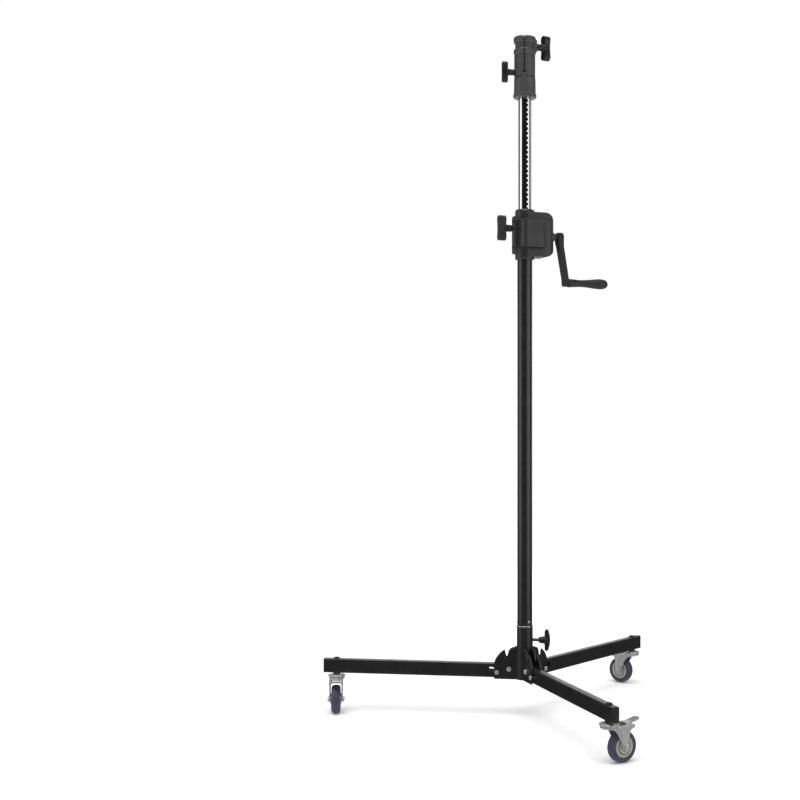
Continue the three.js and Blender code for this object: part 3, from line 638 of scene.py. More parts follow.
def dress(node, mesh, finish, matrix=STAND):
    """A finer shape in place of one CAD node, on the same body."""
    obj = piece(f"{node}_shape", mesh, finish, NODES[node]["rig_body"], matrix)
    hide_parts(node)
    return obj


def ring_profile(inner, outer, low, high, edge):
    return fillet([(inner, low, 0.3), (outer, low, edge), (outer, high, edge), (inner, high, 0.3)])


def hexagon(half):
    """A hexagon, half its width across flats."""
    radius = half / math.cos(math.pi / 6)
    return [(radius * math.cos(k * math.pi / 3), radius * math.sin(k * math.pi / 3)) for k in range(6)]


def hex_head(half, low, high, chamfer=0.9):
    """A hex head or nut along Z, with its corners turned off on both faces."""
    corner = half / math.cos(math.pi / 6)
    middle_z = (low + high) / 2
    turned = [(0, low), (half, low), (corner, low + chamfer), (corner, middle_z)]
    turned += [(corner, high - chamfer), (half, high), (0, high)]
    return clipped(prism(hexagon(half), low - 1, high + 1), lathe(turned, SMALL_ROUND))


# ---- base ----
def make_socket():
    wall = lathe(ring_profile(COLUMN_RADIUS + GAP, SOCKET_RADIUS, CHEEK_BOTTOM, SOCKET_TOP, 0.45))
    hole = spun(along(rod(BOLT_HOLE, 10, 40, 0), 0, BASE_KNOB_Z), BASE_KNOB_AZIMUTH)
    dress("base_socket_tube", cut(wall, hole), "black_powder_coat")
    ring = lathe(ring_profile(COLUMN_RADIUS + GAP, SOCKET_RADIUS + 0.8, RING_BOTTOM, RING_TOP, 1.2))
    dress("socket_ring", ring, "chrome")


def cheek_outline():
    """Side view of a hub plate's flange, with the V notch for a folded leg's pin and two small steps."""
    start = math.degrees(math.acos((CHEEK_END - SHOULDER.x) / SHOULDER_RADIUS))
    shoulder = arc(SHOULDER, SHOULDER_RADIUS, start, 63, 14)
    notch = arc(LOCK_FOLDED, PIN_RADIUS + GAP, -20, -160, 8)
    steps = [(41, 178), (36.5, 178.3), (35.5, 180.8), (29, 181.2), (28, 183.4), (19, 184)]
    low_corner = fillet([(19, CHEEK_BOTTOM), (CHEEK_END, CHEEK_BOTTOM, 3), shoulder[0]], closed=False)
    return low_corner[:-1] + shoulder + notch + steps


def flange(side):
    near, far = CHEEK if side > 0 else (-CHEEK[1], -CHEEK[0])
    lock = slot_outline(LOCK_OPEN, (CHEEK_END + 6, LOCK_OPEN.y), PIN_RADIUS + GAP)
    plate = upright(cheek_outline(), near, far, 0.45, 2)
    bolt_hole = across(rod(BOLT_HOLE, -far - 1, -near + 1, 0), *PIVOT)
    return cut(plate, upright(lock, near - 1, far + 1), bolt_hole)


def make_hub_plates():
    """Three bent plates. Each wraps the socket and ends in a flange beside two legs."""
    inner, outer = SOCKET_RADIUS + GAP, SOCKET_RADIUS + 2.7
    for name, azimuth in (("right_front", -30), ("front_left", -150), ("left_right", 90)):
        wrap = arc((0, 0), outer, -31, 31, 24) + arc((0, 0), inner, 31, -31, 24)
        plate = prism(wrap, CHEEK_BOTTOM, CHEEK_TOP, 0.45, 2)
        plate = union(plate, spun(flange(-1), 60), spun(flange(1), -60))
        dress(f"{name}_hub_plate", spun(plate, azimuth), "black_powder_coat")


def cross_bolt(radius, head, rise, place, socket):
    """A bolt across a leg: domed head with a hex socket on one side, washer and nut on the other."""
    face = CHEEK[1] + GAP
    dome = [(0, face), (head, face, 0.4), (head, face + 0.45 * rise, 1.2), (0.62 * head, face + rise, 1.4)]
    dome = lathe(fillet([*dome, (0, face + rise)], closed=False), SMALL_ROUND)
    dome = cut(dome, prism(hexagon(socket), face + 0.45 * rise, face + rise + 1))
    shank = rod(radius, -face - rise, face + 1, 0.3)
    washer = rod(head, -face - 1.2, -face, 0.3)
    nut = hex_head(0.86 * head, -face - rise + 0.6, -face - 1.2 + 0.01, 0.5)
    return across(union(union(shank, dome), washer, nut), *place)


def make_leg(leg):
    frame_of_leg = leg_frame(leg)
    section = rectangle(-LEG_HALF, LEG_HALF, LEG_BOTTOM, LEG_TOP, 3)
    bar = sideways(section, LEG_START, LEG_END, 0.3, 2)
    inner = LEG_HALF - LEG_WALL
    bore = rectangle(-inner, inner, LEG_BOTTOM + LEG_WALL, LEG_TOP - LEG_WALL, 1.2)
    tools = [
        sideways(bore, 0, LEG_END + 9),
        upright(slot_outline(LOCK_OPEN, (86, 126), PIN_RADIUS + GAP), -11, 11),
        upright(slot_outline((86, 126), (95, 126), PIN_RADIUS + GAP), -11, 11),
        across(rod(BOLT_HOLE, -11, 11, 0), *PIVOT),
        moved(rod(5.3, LEG_BOTTOM - 1, LEG_TOP + 1, 0), Matrix.Translation((STEM_REACH, 0, 0))),
    ]
    dress(f"{leg}_leg_tube", cut(bar, *tools), "black_powder_coat", frame_of_leg)
    cap = sideways(section, LEG_END + GAP, LEG_END + 3.8, 1.3, 4)
    plug_section = rectangle(-7.6, 7.6, LEG_BOTTOM + 2.4, LEG_TOP - 2.4, 1)
    plug = sideways(plug_section, LEG_END - 9, LEG_END + 2, 0.6)
    dress(f"{leg}_leg_end_cap", union(cap, plug), "black_plastic", frame_of_leg)
    dress(f"{leg}_leg_pivot_bolt", cross_bolt(4, 6.5, 5, PIVOT, 2.6), "bright_zinc", frame_of_leg)
    dress(f"{leg}_leg_lock_pin", cross_bolt(3.5, 6, 4, LOCK_OPEN, 2), "bright_zinc", frame_of_leg)


# ---- casters ----
def make_stem(leg, place):
    """Black stem with its dome nut on the leg, and the plated upper raceway under the leg."""
    dome = [(0, 140.3), (8.5, 140.3, 0.5), (8.2, 142.4, 1.2), (4.2, 144.3, 1.5), (0, 144.3)]
    nut = lathe(fillet(dome, closed=False), SMALL_ROUND)
    stem = union(rod(5, 84, 141), nut, hex_head(9, 97.2, 101.7))
    obj = piece(f"{leg}_caster_stem_nut", stem, "black_plastic", f"{leg}_leg", place)
    raceway = [(5.2, 92.6), (23.5, 92.6, 0.9), (23.5, 95.2, 1.2), (19, 97, 1.4), (5.2, 97)]
    piece(f"{leg}_caster_raceway", lathe(fillet(raceway)), "bright_zinc", f"{leg}_leg", place)
    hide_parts(f"{leg}_caster_stem")


def fork_outline():
    """Side view of a fork leg: wide at the crown, drawn in to the axle, flared under the pedal."""
    front = eased([(-10, 84.5), (3, 81), (12, 72), (20, 58), (28, 42)], 4)
    boss = arc((TRAIL, WHEEL_RADIUS), 9.5, 190, 372, 14)
    back = eased([(47.8, 44), (47.5, 58), (49, 70), (54, 77.5), (64, 81)], 4)
    crown = [(64, 81), (64, 89, 2), (44, 91.5, 6), (24, 88.5, 6), (-10, 88, 2), (-10, 84.5)]
    return front + boss + back + fillet(crown, closed=False)[1:-1]


def make_fork(leg, place):
    plates = [upright(fork_outline(), low, high, 0.7, 3) for low, high in
              ((-FORK_OUTER, -FORK_INNER), (FORK_INNER, FORK_OUTER))]
    crown = block((-10, 30), (-FORK_OUTER + 0.2, FORK_OUTER - 0.2), (84.3, 87), 1)
    cup = [(0, 83.5), (17.5, 83.5, 2), (21.5, 86.2, 1.2), (21.5, 88.4, 0.7), (20.4, 89.2, 0.4),
           (20.4, 90.1, 0.4), (21.5, 90.8, 0.5), (21.5, 92.2, 0.5), (0, 92.2)]
    cup = lathe(fillet(cup, closed=False))
    tools = [
        rod(5.5, 80, 95, 0),
        across(rod(BOLT_HOLE, -20, 20, 0), TRAIL, WHEEL_RADIUS),
        across(rod(2.8, -20, 20, 0), *PEDAL_PIVOT),
    ]
    dress(f"{leg}_caster_fork", cut(union(cup, crown, *plates), *tools), "bright_zinc", place)


def make_wheel(leg, place):
    w = WHEEL_HALF
    side = [(4.5, -w, 0.3), (15.6, -w, 0.5), (16.4, -w + 4.5, 0.6), (18.2, -w + 4.5, 0.6),
            (19, -w + 0.8, 0.7), (23.6, -w + 0.4, 0.8), (CORE_RADIUS, -w + 1.6, 0.6)]
    mirrored = [(r, -z, edge) for r, z, edge in reversed(side)]
    core = across(lathe(fillet(side + mirrored)), TRAIL, WHEEL_RADIUS)
    dress(f"{leg}_wheel_core", core, "wheel_core", place)
    bore = CORE_RADIUS + GAP
    half = [(bore, -w + 0.6, 0.6), (27.5, -w, 0.5), (32, -w, 3), (35.8, -w + 2.2, 3), (37.1, -w + 5.4, 2)]
    seam = [(WHEEL_RADIUS, -3.4, 2), (WHEEL_RADIUS, -0.5, 0.1), (WHEEL_RADIUS - 0.35, -0.25, 0.1)]
    half += seam
    mirrored = [(r, -z, edge) for r, z, edge in reversed(half)]
    tread = across(lathe(fillet(half + mirrored)), TRAIL, WHEEL_RADIUS)
    dress(f"{leg}_tyre", tread, "tyre", place)


def make_axle(leg, place):
    """Axle bolt and nut outside the fork, and the stamped thread guards between fork and wheel."""
    outer = FORK_OUTER + GAP
    w = WHEEL_HALF + 0.5
    bolt_end = [(0, outer + 5.2), (4, outer + 5.2, 0.5), (4, outer + 1.1)]
    washer = [(8, outer + 1.1, 0.3), (8, outer, 0.2), (4, outer)]
    guard = [(4, 14.7), (7, 14.7, 0.4), (8, 13.4, 0.4), (10.5, 13.4, 0.4), (11.5, 14.1, 0.4)]
    guard += [(13.5, 14.1, 0.6), (15.5, w + 0.9, 0.6), (14.8, w, 0.4), (4, w)]
    half = bolt_end + washer + guard
    line = [(r, -z, *edge) for r, z, *edge in half] + half[::-1]
    bolt = lathe(fillet(line, closed=False), 72)
    head = hex_head(6.3, outer + 1.2, outer + 4.9)
    nut = hex_head(6.3, -outer - 4.5, -outer - 1.2)
    axle = together(bolt, head, nut)
    dress(f"{leg}_caster_axle", across(axle, TRAIL, WHEEL_RADIUS), "bright_zinc", place)


def make_pedal(leg, place):
    """Pressed foot pedal: a bowed plate with rounded toe and grip ribs, on lugs with a cross pin."""
    under = eased([(40, 92.4), (50, 91.6), (62, 92), (74, 94.6), (85.6, 98.2)], 5)
    over = [(x, z + 2.1) for x, z in reversed(under)]
    toe = [(86, -12, 9), (86, 12, 9)]
    plan = fillet([(39, -9, 3), (58, -12, 10), *toe, (58, 12, 10), (39, 9, 3)], steps=6)
    plate = clipped(upright(under + over, -13, 13), prism(plan, 80, 110))
    ribs = [across(rod(1, -8.6, 8.6, 0.6, 16), 66 + run, 94.6 + run * 0.3) for run in range(0, 20, 4)]
    lug = fillet([(49, 93), (50, 83, 3), (54, 80.4, 3), (58, 83, 3), (60, 93)], 0, steps=3)
    lugs = [upright(lug, -12, -9.5, 0.4, 2), upright(lug, 9.5, 12, 0.4, 2)]
    pin = across(rod(2.5, -18.5, 18.5, 0.6), *PEDAL_PIVOT)
    dress(f"{leg}_brake_pedal", union(plate, *ribs, *lugs, pin), "bright_zinc", place)


# ---- T-knobs ----
def t_knob(tip, shoulder, reach, height, thickness, hub, lobe, waist, z):
    """Moulded wing with two lobes, a stepped hub and a steel screw."""
    rise = height / 2 - lobe
    side = [(lobe, rise), (waist, rise * 0.45), (waist - 0.5, 0), (waist, -rise * 0.45), (lobe, -rise)]
    right = eased(side, 6)
    left = [(-y, up) for y, up in right]
    top = arc((0, rise), lobe, 0, 180, 16)
    bottom = arc((0, -rise), lobe, 180, 360, 16)
    wing = top[:-1] + left[:-1] + bottom[:-1] + right[:0:-1]
    neck = reach - thickness
    plate = moved(sideways(wing, neck, reach, 1.5, 4), Matrix.Translation((0, 0, z)))
    hub_line = [(0, shoulder), (hub - 1.5, shoulder, 0.8), (hub, shoulder + 3, 0.8), (hub, neck - 4, 2),
                (hub + 2, neck + 1, 1), (hub + 2, neck + 4), (0, neck + 4)]
    hub_solid = along(lathe(fillet(hub_line, closed=False), 64), 0, z)
    return union(plate, hub_solid), along(rod(4, tip, shoulder + 2, 0.5), 0, z)


def bow_knob(tip, shoulder, reach, height, hub, z):
    """Moulded wing, slightly bowed, on a hub that flares to it, and a steel screw."""
    half = height / 2
    end = half - 5
    front_line = [(4, end), (1.2, 12), (0, 0), (1.2, -12), (4, -end)]
    rear_line = [(14, -end), (14.2, -13), (15, 0), (14.2, 13), (14, end)]
    front, rear = (eased([(reach - back, up) for back, up in side]) for side in (front_line, rear_line))
    low = arc((reach - 9, -end), 5, 0, -180, 10)
    high = arc((reach - 9, end), 5, 180, 0, 10)
    wing_line = front[:-1] + low[:-1] + rear[:-1] + high[:-1]
    wing = moved(upright(wing_line, -6.5, 6.5, 1.8, 4), Matrix.Translation((0, 0, z)))
    line = [(0, shoulder), (hub - 1.8, shoulder, 0.8), (hub - 1.2, shoulder + 2, 0.8)]
    line += [(hub - 0.2, shoulder + 4, 1), (hub, reach - 21, 3), (hub + 1.6, reach - 13, 2)]
    line += [(hub + 1, reach - 9), (0, reach - 9)]
    hub_solid = along(lathe(fillet(line, closed=False), 64), 0, z)
    return union(wing, hub_solid), along(rod(4, tip, shoulder + 2, 0.5), 0, z)


def make_knob(node, azimuth, shape=t_knob, **sizes):
    wing, screw = shape(**sizes)
    place = turned_frame(azimuth)
    dress(node, wing, "black_plastic", place)
    piece(f"{node}_screw", screw, "black_powder_coat", NODES[node]["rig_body"], place)


def make_knobs():
    make_knob("base_clamp_knob", BASE_KNOB_AZIMUTH, bow_knob, z=BASE_KNOB_Z,
              tip=20.3, shoulder=38, reach=68, height=57, hub=9)
    make_knob("riser_brake_knob", 180, z=BRAKE_Z,
              tip=26.6, shoulder=38, reach=76, height=67, thickness=20, hub=9.3, lobe=11, waist=9)
    make_knob("upper_head_knob", UPPER_KNOB_AZIMUTH, z=UPPER_KNOB_Z,
              tip=14.6, shoulder=36, reach=76, height=67, thickness=19, hub=8.8, lobe=11, waist=9)
    make_knob("lower_head_knob", LOWER_KNOB_AZIMUTH, z=LOWER_KNOB_Z,
              tip=8.5, shoulder=28, reach=62, height=56, thickness=14.5, hub=8.2, lobe=9, waist=8)


# ---- column and gearbox ----
def make_column():
    wall = ring_profile(COLUMN_BORE, COLUMN_RADIUS, COLUMN_BOTTOM, COLUMN_TOP, 0.5)
    dress("main_column", lathe(wall), "black_powder_coat")
    head = [(0, 19.6), (3.4, 19.6, 0.3), (3.2, 20.9, 0.6), (1.6, 21.6, 0.6), (0, 21.6)]
    screws = []
    for azimuth in (-78, 42, 162):
        screws.append(spun(along(lathe(fillet(head, closed=False), 24), 0, SCREW_HEIGHT), azimuth))
    piece("column_retaining_screws", together(*screws), "bright_zinc", "column")


def casing_outline(inset, left):
    low, high, end = CASING_BOTTOM + inset, CASING_TOP - inset, CASING_END - inset
    corner = CASING_CORNER - inset
    return fillet([(left, low), (end, low, corner), (end, high, corner), (left, high)], steps=14)


def casing_solid(inset, left, front, rear, edge=0.0):
    """The gearbox, or the space in it: rounded in side view and, at its front outer corner, in plan."""
    side = upright(casing_outline(inset, left), front, rear, edge, 5)
    nose = CASING_NOSE - inset
    near, end = CASING_FRONT + inset, CASING_END - inset
    plan = fillet([(-10, near), (end, near, nose), (end, 60), (-10, 60)], steps=14)
    return clipped(side, prism(plan, 1220, 1355))


def bulge_outline(inset=0.0):
    """Plan of the raised front of the gearbox: a half-round bow with tighter shoulders."""
    left, right, front = BULGE_LEFT + inset, BULGE_RIGHT - inset, BULGE_FRONT + inset
    bow = [(left, BULGE_REAR), (left, front, 15), (right, front, 19), (right, BULGE_REAR)]
    return fillet(bow, steps=12)


def make_housing():
    low, high = HOUSING_BOTTOM, HOUSING_TOP
    collar = [(0, low), (COLLAR_RADIUS - 1.6, low, 0.4), (COLLAR_RADIUS, low + 2, 0.8)]
    collar += [(COLLAR_RADIUS, high - 4, 0.8), (COLLAR_RADIUS - 2.6, high, 0.6), (0, high)]
    casing = casing_solid(0, 0, CASING_FRONT, CASING_REAR)
    bulge = prism(bulge_outline(), BULGE_BOTTOM, BULGE_TOP, 2, 4)
    boss = along(rod(11, CASING_END - 20, CASING_END, 0.8, 64), CRANK.y, CRANK.z)
    body = union(lathe(fillet(collar, closed=False)), casing, bulge, boss)
    groove = [(-28, -60), (47, -60), (47, -24.4), (-28, -24.4)]
    for z in (BULGE_TOP + GROOVE_HALF, BULGE_BOTTOM - GROOVE_HALF):
        body = cut(body, prism(groove, z - GROOVE_HALF, z + GROOVE_HALF))
    pocket_front = BULGE_FRONT + BULGE_WALL
    pocket = (BULGE_BOTTOM + BULGE_WALL, BULGE_TOP - BULGE_WALL)
    pinion_space = block((-9, GEAR_SPACE[1]), (pocket_front, -COLLAR_RADIUS - 1), pocket)
    tools = [
        casing_solid(CASING_WALL, 30, CASING_FRONT + CASING_WALL, CASING_REAR + 1),
        block(GEAR_SPACE, (pocket_front, 0), pocket),
        clipped(pinion_space, prism(bulge_outline(BULGE_WALL), 1240, 1340)),
        along(rod(4.5, -20, 43, 0), PINION.y, PINION.z),
        along(rod(5.5, 21, 83, 0), CRANK.y, CRANK.z),
        rod(RISER_RADIUS + 1.1, HOUSING_BOTTOM - 1, HOUSING_TOP + 1, 0, ROUND),
        rod(COLUMN_RADIUS + GAP, HOUSING_BOTTOM - 1, COLUMN_TOP + GAP, 0, ROUND),
        rod(RISER_RADIUS + 4.3, BUSHING_BOTTOM - GAP, HOUSING_TOP + 1, 0, ROUND),
        block((-28.3, -10.2), (-8.9, 8.9), (BRAKE_Z - SHOE_SPACE, BRAKE_Z + SHOE_SPACE)),
        block((-4.1, 4.1), (-28.2, -10.4), (PINION.z - 14, PINION.z + 14)),
    ]
    dress("gear_housing", cut(body, *tools), "cast_grey")


def make_cover():
    """Rear cover with a sunk panel, four socket screws and a round boss over the pinion shaft."""
    rear, back = 24.3, 28.3
    plate = fillet([(2, 1229, 8), (80, 1229, 32), (80, 1346, 32), (2, 1346, 8)], steps=12)
    panel = fillet([(14, 1249, 7), (63, 1249, 12), (63, 1326, 12), (14, 1326, 7)], steps=8)
    tools = [rod(COLLAR_RADIUS + GAP, HOUSING_BOTTOM, HOUSING_TOP, 0, ROUND)]
    tools.append(upright(panel, back - 1.2, back + 1))
    tools += [across(rod(2.3, -back - 1, -rear + 1, 0), x, z) for x, z in COVER_SCREWS]
    dress("gear_cover", cut(upright(plate, rear, back, 0.9, 3), *tools), "cast_grey")
    for number, (x, z) in enumerate(COVER_SCREWS, 1):
        head = rod(3.6, -back - 3.6, -back - 0.6, 0.7)
        head = cut(head, prism(hexagon(1.6), -back - 5, -back - 1.8))
        screw = union(head, rod(2, -back - 1, -rear - 0.3, 0.2))
        dress(f"gear_cover_screw_{number}", across(screw, x, z), "black_plastic")
    floor = back - 0.6
    dome = [(0, -floor - 4), (10.4, -floor - 4, 1.2), (13, -floor - 2.2, 1), (13, -floor, 0.3), (0, -floor)]
    dress("gear_cover_cap", across(lathe(fillet(dome, closed=False), 72), 42, PINION.z), "cast_grey")


def make_brake():
    body = upright(rectangle(-33, -5, 1235, 1337, 5), -12, 12, 2, 4)
    tools = [rod(COLLAR_RADIUS + GAP, 1230, 1340, 0, ROUND), along(rod(BOLT_HOLE, -40, 0, 0), 0, BRAKE_Z)]
    dress("brake_pad_block", cut(body, *tools), "cast_grey")
    bolts = []
    for z in BRAKE_BOLTS:
        head = cut(rod(4, -35.6, -32.8, 0.6), prism(hexagon(1.8), -37, -33.8))
        bolts.append(along(head, 0, z))
    piece("brake_pad_bolts", together(*bolts), "black_plastic", "column")
    inner, outer = RISER_RADIUS + GAP, RISER_RADIUS + 4
    lip = [(inner, BUSHING_BOTTOM), (outer, BUSHING_BOTTOM), (outer, 1354.2, 0.6)]
    lip += [(RISER_RADIUS + 1.6, 1355, 0.6), (inner, 1354.2, 0.4)]
    dress("riser_bushing", lathe(fillet(lip)), "nylon")


# ---- crank ----
def make_crank():
    y, z = CRANK.y, CRANK.z
    neck = [(0, 21.5), (5, 21.5, 0.5), (5, CASING_END + GAP), (7.4, CASING_END + GAP, 0.4)]
    neck += [(7.4, 83.2, 0.6), (9, 85, 0.6), (9, 88, 0.4), (5, 88), (5, 105, 0.8), (0, 105)]
    dress("crank_shaft", along(lathe(fillet(neck, closed=False), 64), y, z), "black_powder_coat")
    side = fillet([(120, GRIP_Z - 11, 2), (120, GRIP_Z + 9, 5), (104.5, z - 23, 30), (104.5, z + 13, 4),
                   (88.5, z + 13, 4), (88.5, z - 13, 4), (92, z - 27, 20), (107, GRIP_Z + 8, 10),
                   (107, GRIP_Z - 11, 2)], steps=6)
    face = [(y + dy, up) for dy, up in arc((0, z), 13, 0, 180, 24) + arc((0, GRIP_Z), 10.5, 180, 360, 24)]
    bar = clipped(upright(side, y - 15, y + 15), sideways(face, 80, 130))
    bar = union(cut(bar, along(rod(5.3, 80, 130, 0), y, z)), along(rod(4, 112, 226, 0.6), y, GRIP_Z))
    arm = dress("crank_arm", bar, "crank_black")
    soften(arm, 1.2)
    stations = [(11.3, 0), (11.5, 3), (10.9, 12), (9.6, 30), (9.8, 48), (12, 72), (13.6, 88), (13.7, 98),
                (12.2, 108), (8.6, 114.6), (4.2, 117.2)]
    start = GRIP[0].x
    skin = [(radius, start + x) for radius, x in eased(stations, 5)]
    nose = [(0, GRIP[1].x)]
    hollow = [(0, start + 105), (4.5, start + 105)]
    grip = lathe([(4.5, start), *skin, *nose, *hollow], 72)
    dress("crank_grip", along(grip, y, GRIP_Z), "black_plastic")


def soften(obj, width):
    """Rounds a piece's sharp edges, in millimetres."""
    bevel = obj.modifiers.new("soft edges", "BEVEL")
    bevel.width = width * MM
    bevel.segments = 3
    bevel.limit_method = "ANGLE"
    bevel.angle_limit = math.radians(CREASE)
    obj.modifiers.move(len(obj.modifiers) - 1, 0)


# ---- riser and head ----
def make_riser():
    """Chrome tube with a row of rounded rack holes facing -Y."""
    wall = lathe(ring_profile(RISER_BORE, RISER_RADIUS, RISER_BOTTOM, RISER_TOP, 0.5), 80)
    first = math.ceil((RISER_BOTTOM + 50 - PINION.z) / RACK_PITCH)
    last = math.floor((RISER_TOP - 44 - PINION.z) / RACK_PITCH)
    width, height = RACK_HOLE
    holes = []
    for k in range(first, last + 1):
        z = PINION.z + k * RACK_PITCH
        outline = rectangle(-width / 2, width / 2, z - height / 2, z + height / 2, 1.2, 3)
        holes.append(upright(outline, -RISER_RADIUS - 2, -10))
    tube = dress("riser_tube", cut(wall, together(*holes)), "chrome")
    # The faces of the bore get a darker, streaked metal colour.
    tube.data.materials.append(LOOKS["dark_bore"])
    for face in tube.data.polygons:
        centre = Vector((face.center.x - AXIS.x * MM, face.center.y - AXIS.y * MM))
        face.material_index = int(centre.length < 0.5 * (RISER_BORE + RISER_RADIUS) * MM)


def flange_line(low, high):
    """Half profile of a round-edged flange on the head's barrel."""
    rising = [(25.5, low, 1), (28.6, low + 1, 1.5), (30, low + 3.4, 2)]
    return rising + [(30, high - 3.4, 2), (28.6, high - 1, 1.5), (25.5, high, 1)]


def make_head():
    """Die-cast receiver: two flanges, slit barrel, lower body with a groove, rib and clamp bosses."""
    outside = [
        (0, HEAD_BOTTOM), (29.4, HEAD_BOTTOM, 0.8), (31, HEAD_BOTTOM + 2.2, 1.2),
        (31, 1662.2, 1.2), (29.2, 1664.4, 1), (28.6, 1703.4, 1.4), (27, 1705.2, 0.5),
        (22.6, 1705.8, 0.3), (22.6, 1708.8, 0.3), (25.5, 1709.4, 0.6),
        *flange_line(1769.4, 1783.6),
        (25.5, 1798.6, 1), (28.6, 1800, 2), (30, 1803, 3),
        (30, HEAD_TOP - 4, 3), (27.6, HEAD_TOP, 2.2), (0, HEAD_TOP),
    ]
    body = lathe(fillet(outside, closed=False, steps=4))
    parts = [
        spun(block((20, 30.6), (-5.5, 5.5), (1663, SLIT_BOTTOM - 5), 1.4), SLIT_AZIMUTH - 3),
        spun(block((15, 31), (-11, 11), (1696, 1774), 2.2), 112),
        spun(block((16, 34), (-10, 10), (1780, 1812), 2.4), UPPER_KNOB_AZIMUTH),
        spun(block((16, 30.5), (-5, 5), (1692, 1786), 1.6), UPPER_KNOB_AZIMUTH),
        spun(along(rod(11, 16, 27, 1.2), 0, LOWER_KNOB_Z), LOWER_KNOB_AZIMUTH),
    ]
    mouth = [(0, HEAD_TOP - 1.2), (JUNIOR_RADIUS, HEAD_TOP - 1.2), (JUNIOR_RADIUS + 1.6, HEAD_TOP + 0.5),
             (0, HEAD_TOP + 0.5)]
    tools = [
        rod(RISER_RADIUS + GAP, HEAD_BOTTOM - 1, RISER_TOP + GAP, 0, ROUND),
        rod(JUNIOR_RADIUS, JUNIOR_FLOOR, HEAD_TOP + 1, 0, ROUND),
        rod(BABY_RADIUS, BABY_FLOOR, HEAD_TOP, 0, ROUND),
        spun(block((JUNIOR_RADIUS + 1, 36), (-1.5, 1.5), (SLIT_BOTTOM, HEAD_TOP + 1)), SLIT_AZIMUTH),
        spun(along(rod(4, 17, 36, 0), 0, SLIT_BOTTOM), SLIT_AZIMUTH),
        spun(along(rod(BOLT_HOLE, 10, 40, 0), 0, UPPER_KNOB_Z), UPPER_KNOB_AZIMUTH),
        spun(along(rod(BOLT_HOLE, 5, 40, 0), 0, LOWER_KNOB_Z), LOWER_KNOB_AZIMUTH),
        spun(along(rod(2.6, 26, 40, 0), 0, SET_SCREW_Z), SET_SCREW_AZIMUTH),
        lathe(mouth),
    ]
    dress("head_body", cut(union(body, *parts), *tools), "head_grey")
    screw = cut(rod(2.5, 25.8, 30.2, 0.4), prism(hexagon(1.2), 29, 32))
    piece("head_set_screw", spun(along(screw, 0, SET_SCREW_Z), SET_SCREW_AZIMUTH), "black_plastic", "riser")


def make_inner_parts():
    """The moving and sliding parts inside keep their CAD shape, with small rounded edges."""
    inner = {
        "driven_gear": "machined_steel",
        "drive_gear": "brass",
        "pinion_shaft": "machined_steel",
        "riser_foot_plug": "nylon",
        "brake_shoe": "nylon",
    }
    for node, finish in inner.items():
        obj = NODES[node]
        obj.data.materials.clear()
        obj.data.materials.append(LOOKS[finish])
        weld = obj.modifiers.new("weld", "WELD")
        weld.merge_threshold = 0.01 * MM
        soft = obj.modifiers.new("soft edges", "BEVEL")
        soft.width = 0.25 * MM
        soft.segments = 2
        soft.limit_method = "ANGLE"


make_socket()
make_hub_plates()
for leg in LEGS:
    make_leg(leg)
    place = caster_frame(leg)
    make_stem(leg, place)
    make_fork(leg, place)
    make_wheel(leg, place)
    make_axle(leg, place)
    make_pedal(leg, place)
make_column()
make_housing()
make_cover()
make_brake()
make_crank()
make_riser()
make_head()
make_knobs()
make_inner_parts()

# ---- floor, light and camera, in metres ----
VIEW_AZIMUTH = -112  # degrees, from the column towards the camera
CAMERA_DISTANCE = 3.5
CAMERA_HEIGHT = 0.824
FLOOR_RADIUS = 40


def toward(azimuth, distance, height):
    a = math.radians(azimuth)
    return Vector((AXIS.x * MM + distance * math.cos(a), AXIS.y * MM + distance * math.sin(a), height))


def make_floor():
    bm = bmesh.new()
    bmesh.ops.create_circle(bm, cap_ends=True, segments=128, radius=FLOOR_RADIUS)
    mesh = bpy.data.meshes.new("floor")
    bm.to_mesh(mesh)
    bm.free()
    material = bpy.data.materials.new("pale_floor")
    material.use_nodes = True
    shader = material.node_tree.nodes["Principled BSDF"]
    shader.inputs["Base Color"].default_value = (0.955, 0.955, 0.955, 1)
    shader.inputs["Roughness"].default_value = 0.7
    shader.inputs["Specular IOR Level"].default_value = 0.1
    mesh.materials.append(material)
    floor = bpy.data.objects.new("floor", mesh)
    floor.location.z = -0.0004
    floor.visible_glossy = False
    bpy.context.scene.collection.objects.link(floor)


def softbox(name, azimuth, distance, height, size, power):
    data = bpy.data.lights.new(name, "AREA")
    data.shape = "RECTANGLE"
    data.size, data.size_y = size
    data.energy = power
    lamp = bpy.data.objects.new(name, data)
    lamp.location = toward(azimuth, distance, height)
    aim = toward(azimuth, 0, 0.9) - lamp.location
    lamp.rotation_euler = aim.to_track_quat("-Z", "Y").to_euler()
    bpy.context.scene.collection.objects.link(lamp)


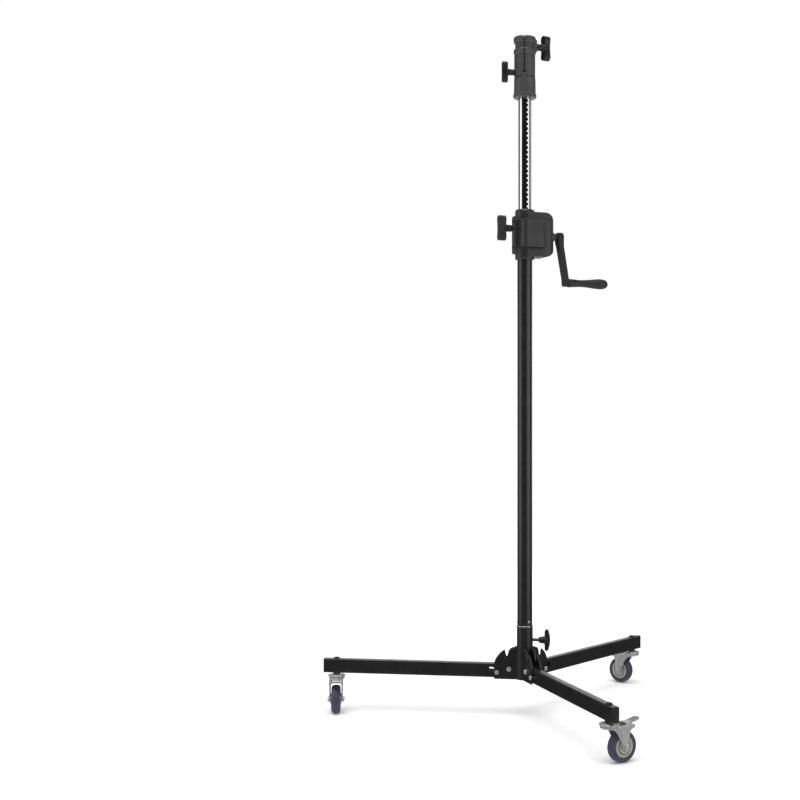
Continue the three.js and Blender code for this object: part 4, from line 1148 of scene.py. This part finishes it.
def make_lights():
    softbox("left_softbox", VIEW_AZIMUTH - 76, 3.0, 1.1, (2.2, 2.6), 22)
    softbox("right_softbox", VIEW_AZIMUTH + 60, 3.0, 1.1, (2.6, 2.6), 25)
    softbox("back_left_softbox", VIEW_AZIMUTH - 140, 3.2, 1.2, (1.1, 2.4), 4)
    softbox("back_right_softbox", VIEW_AZIMUTH + 130, 3.2, 1.2, (1.1, 2.4), 7)
    softbox("back_low_softbox", VIEW_AZIMUTH + 180, 3.4, 0.9, (3.0, 1.0), 12)
    data = bpy.data.lights.new("overhead", "SUN")
    data.energy = 1.87
    data.angle = math.radians(44)
    sun = bpy.data.objects.new("overhead", data)
    sun.rotation_euler = (math.radians(14), math.radians(-10), 0)
    bpy.context.scene.collection.objects.link(sun)


def make_world():
    """White to the camera and to the floor, dim in reflections, so that black and chrome keep contrast."""
    world = bpy.data.worlds.new("studio")
    world.use_nodes = True
    world.cycles.sampling_method = "NONE"
    tree = world.node_tree
    rays = add(tree, "LightPath").outputs
    background = tree.nodes["Background"]
    height = add(tree, "SeparateXYZ", {0: add(tree, "TexCoord").outputs["Generated"]}).outputs[2]
    above = ranged(tree, height, 0.012, 0.3, 0.3, 0.95)
    below = ranged(tree, height, 0.75, 0.0, -0.8, -0.25)
    glow = times(tree, above, below, "MAXIMUM")
    seen = ranged(tree, rays["Is Camera Ray"], 0.56, 1.0, 0, 1)
    level = add(tree, "Mix", {0: rays["Is Glossy Ray"], 2: seen, 3: glow}, data_type="FLOAT").outputs[0]
    tree.links.new(level, background.inputs["Strength"])
    background.inputs["Color"].default_value = (1, 1, 1, 1)
    bpy.context.scene.world = world


def make_camera():
    data = bpy.data.cameras.new("camera")
    data.sensor_width = 36
    data.lens = 58.8
    data.shift_x = -0.156
    data.shift_y = 0.01
    camera = bpy.data.objects.new("camera", data)
    camera.location = toward(VIEW_AZIMUTH, CAMERA_DISTANCE, CAMERA_HEIGHT)
    camera.rotation_euler = (math.pi / 2, 0, math.radians(VIEW_AZIMUTH + 90))
    bpy.context.scene.collection.objects.link(camera)
    bpy.context.scene.camera = camera


make_floor()
make_lights()
make_world()
make_camera()
bpy.context.scene.view_settings.view_transform = "Standard"
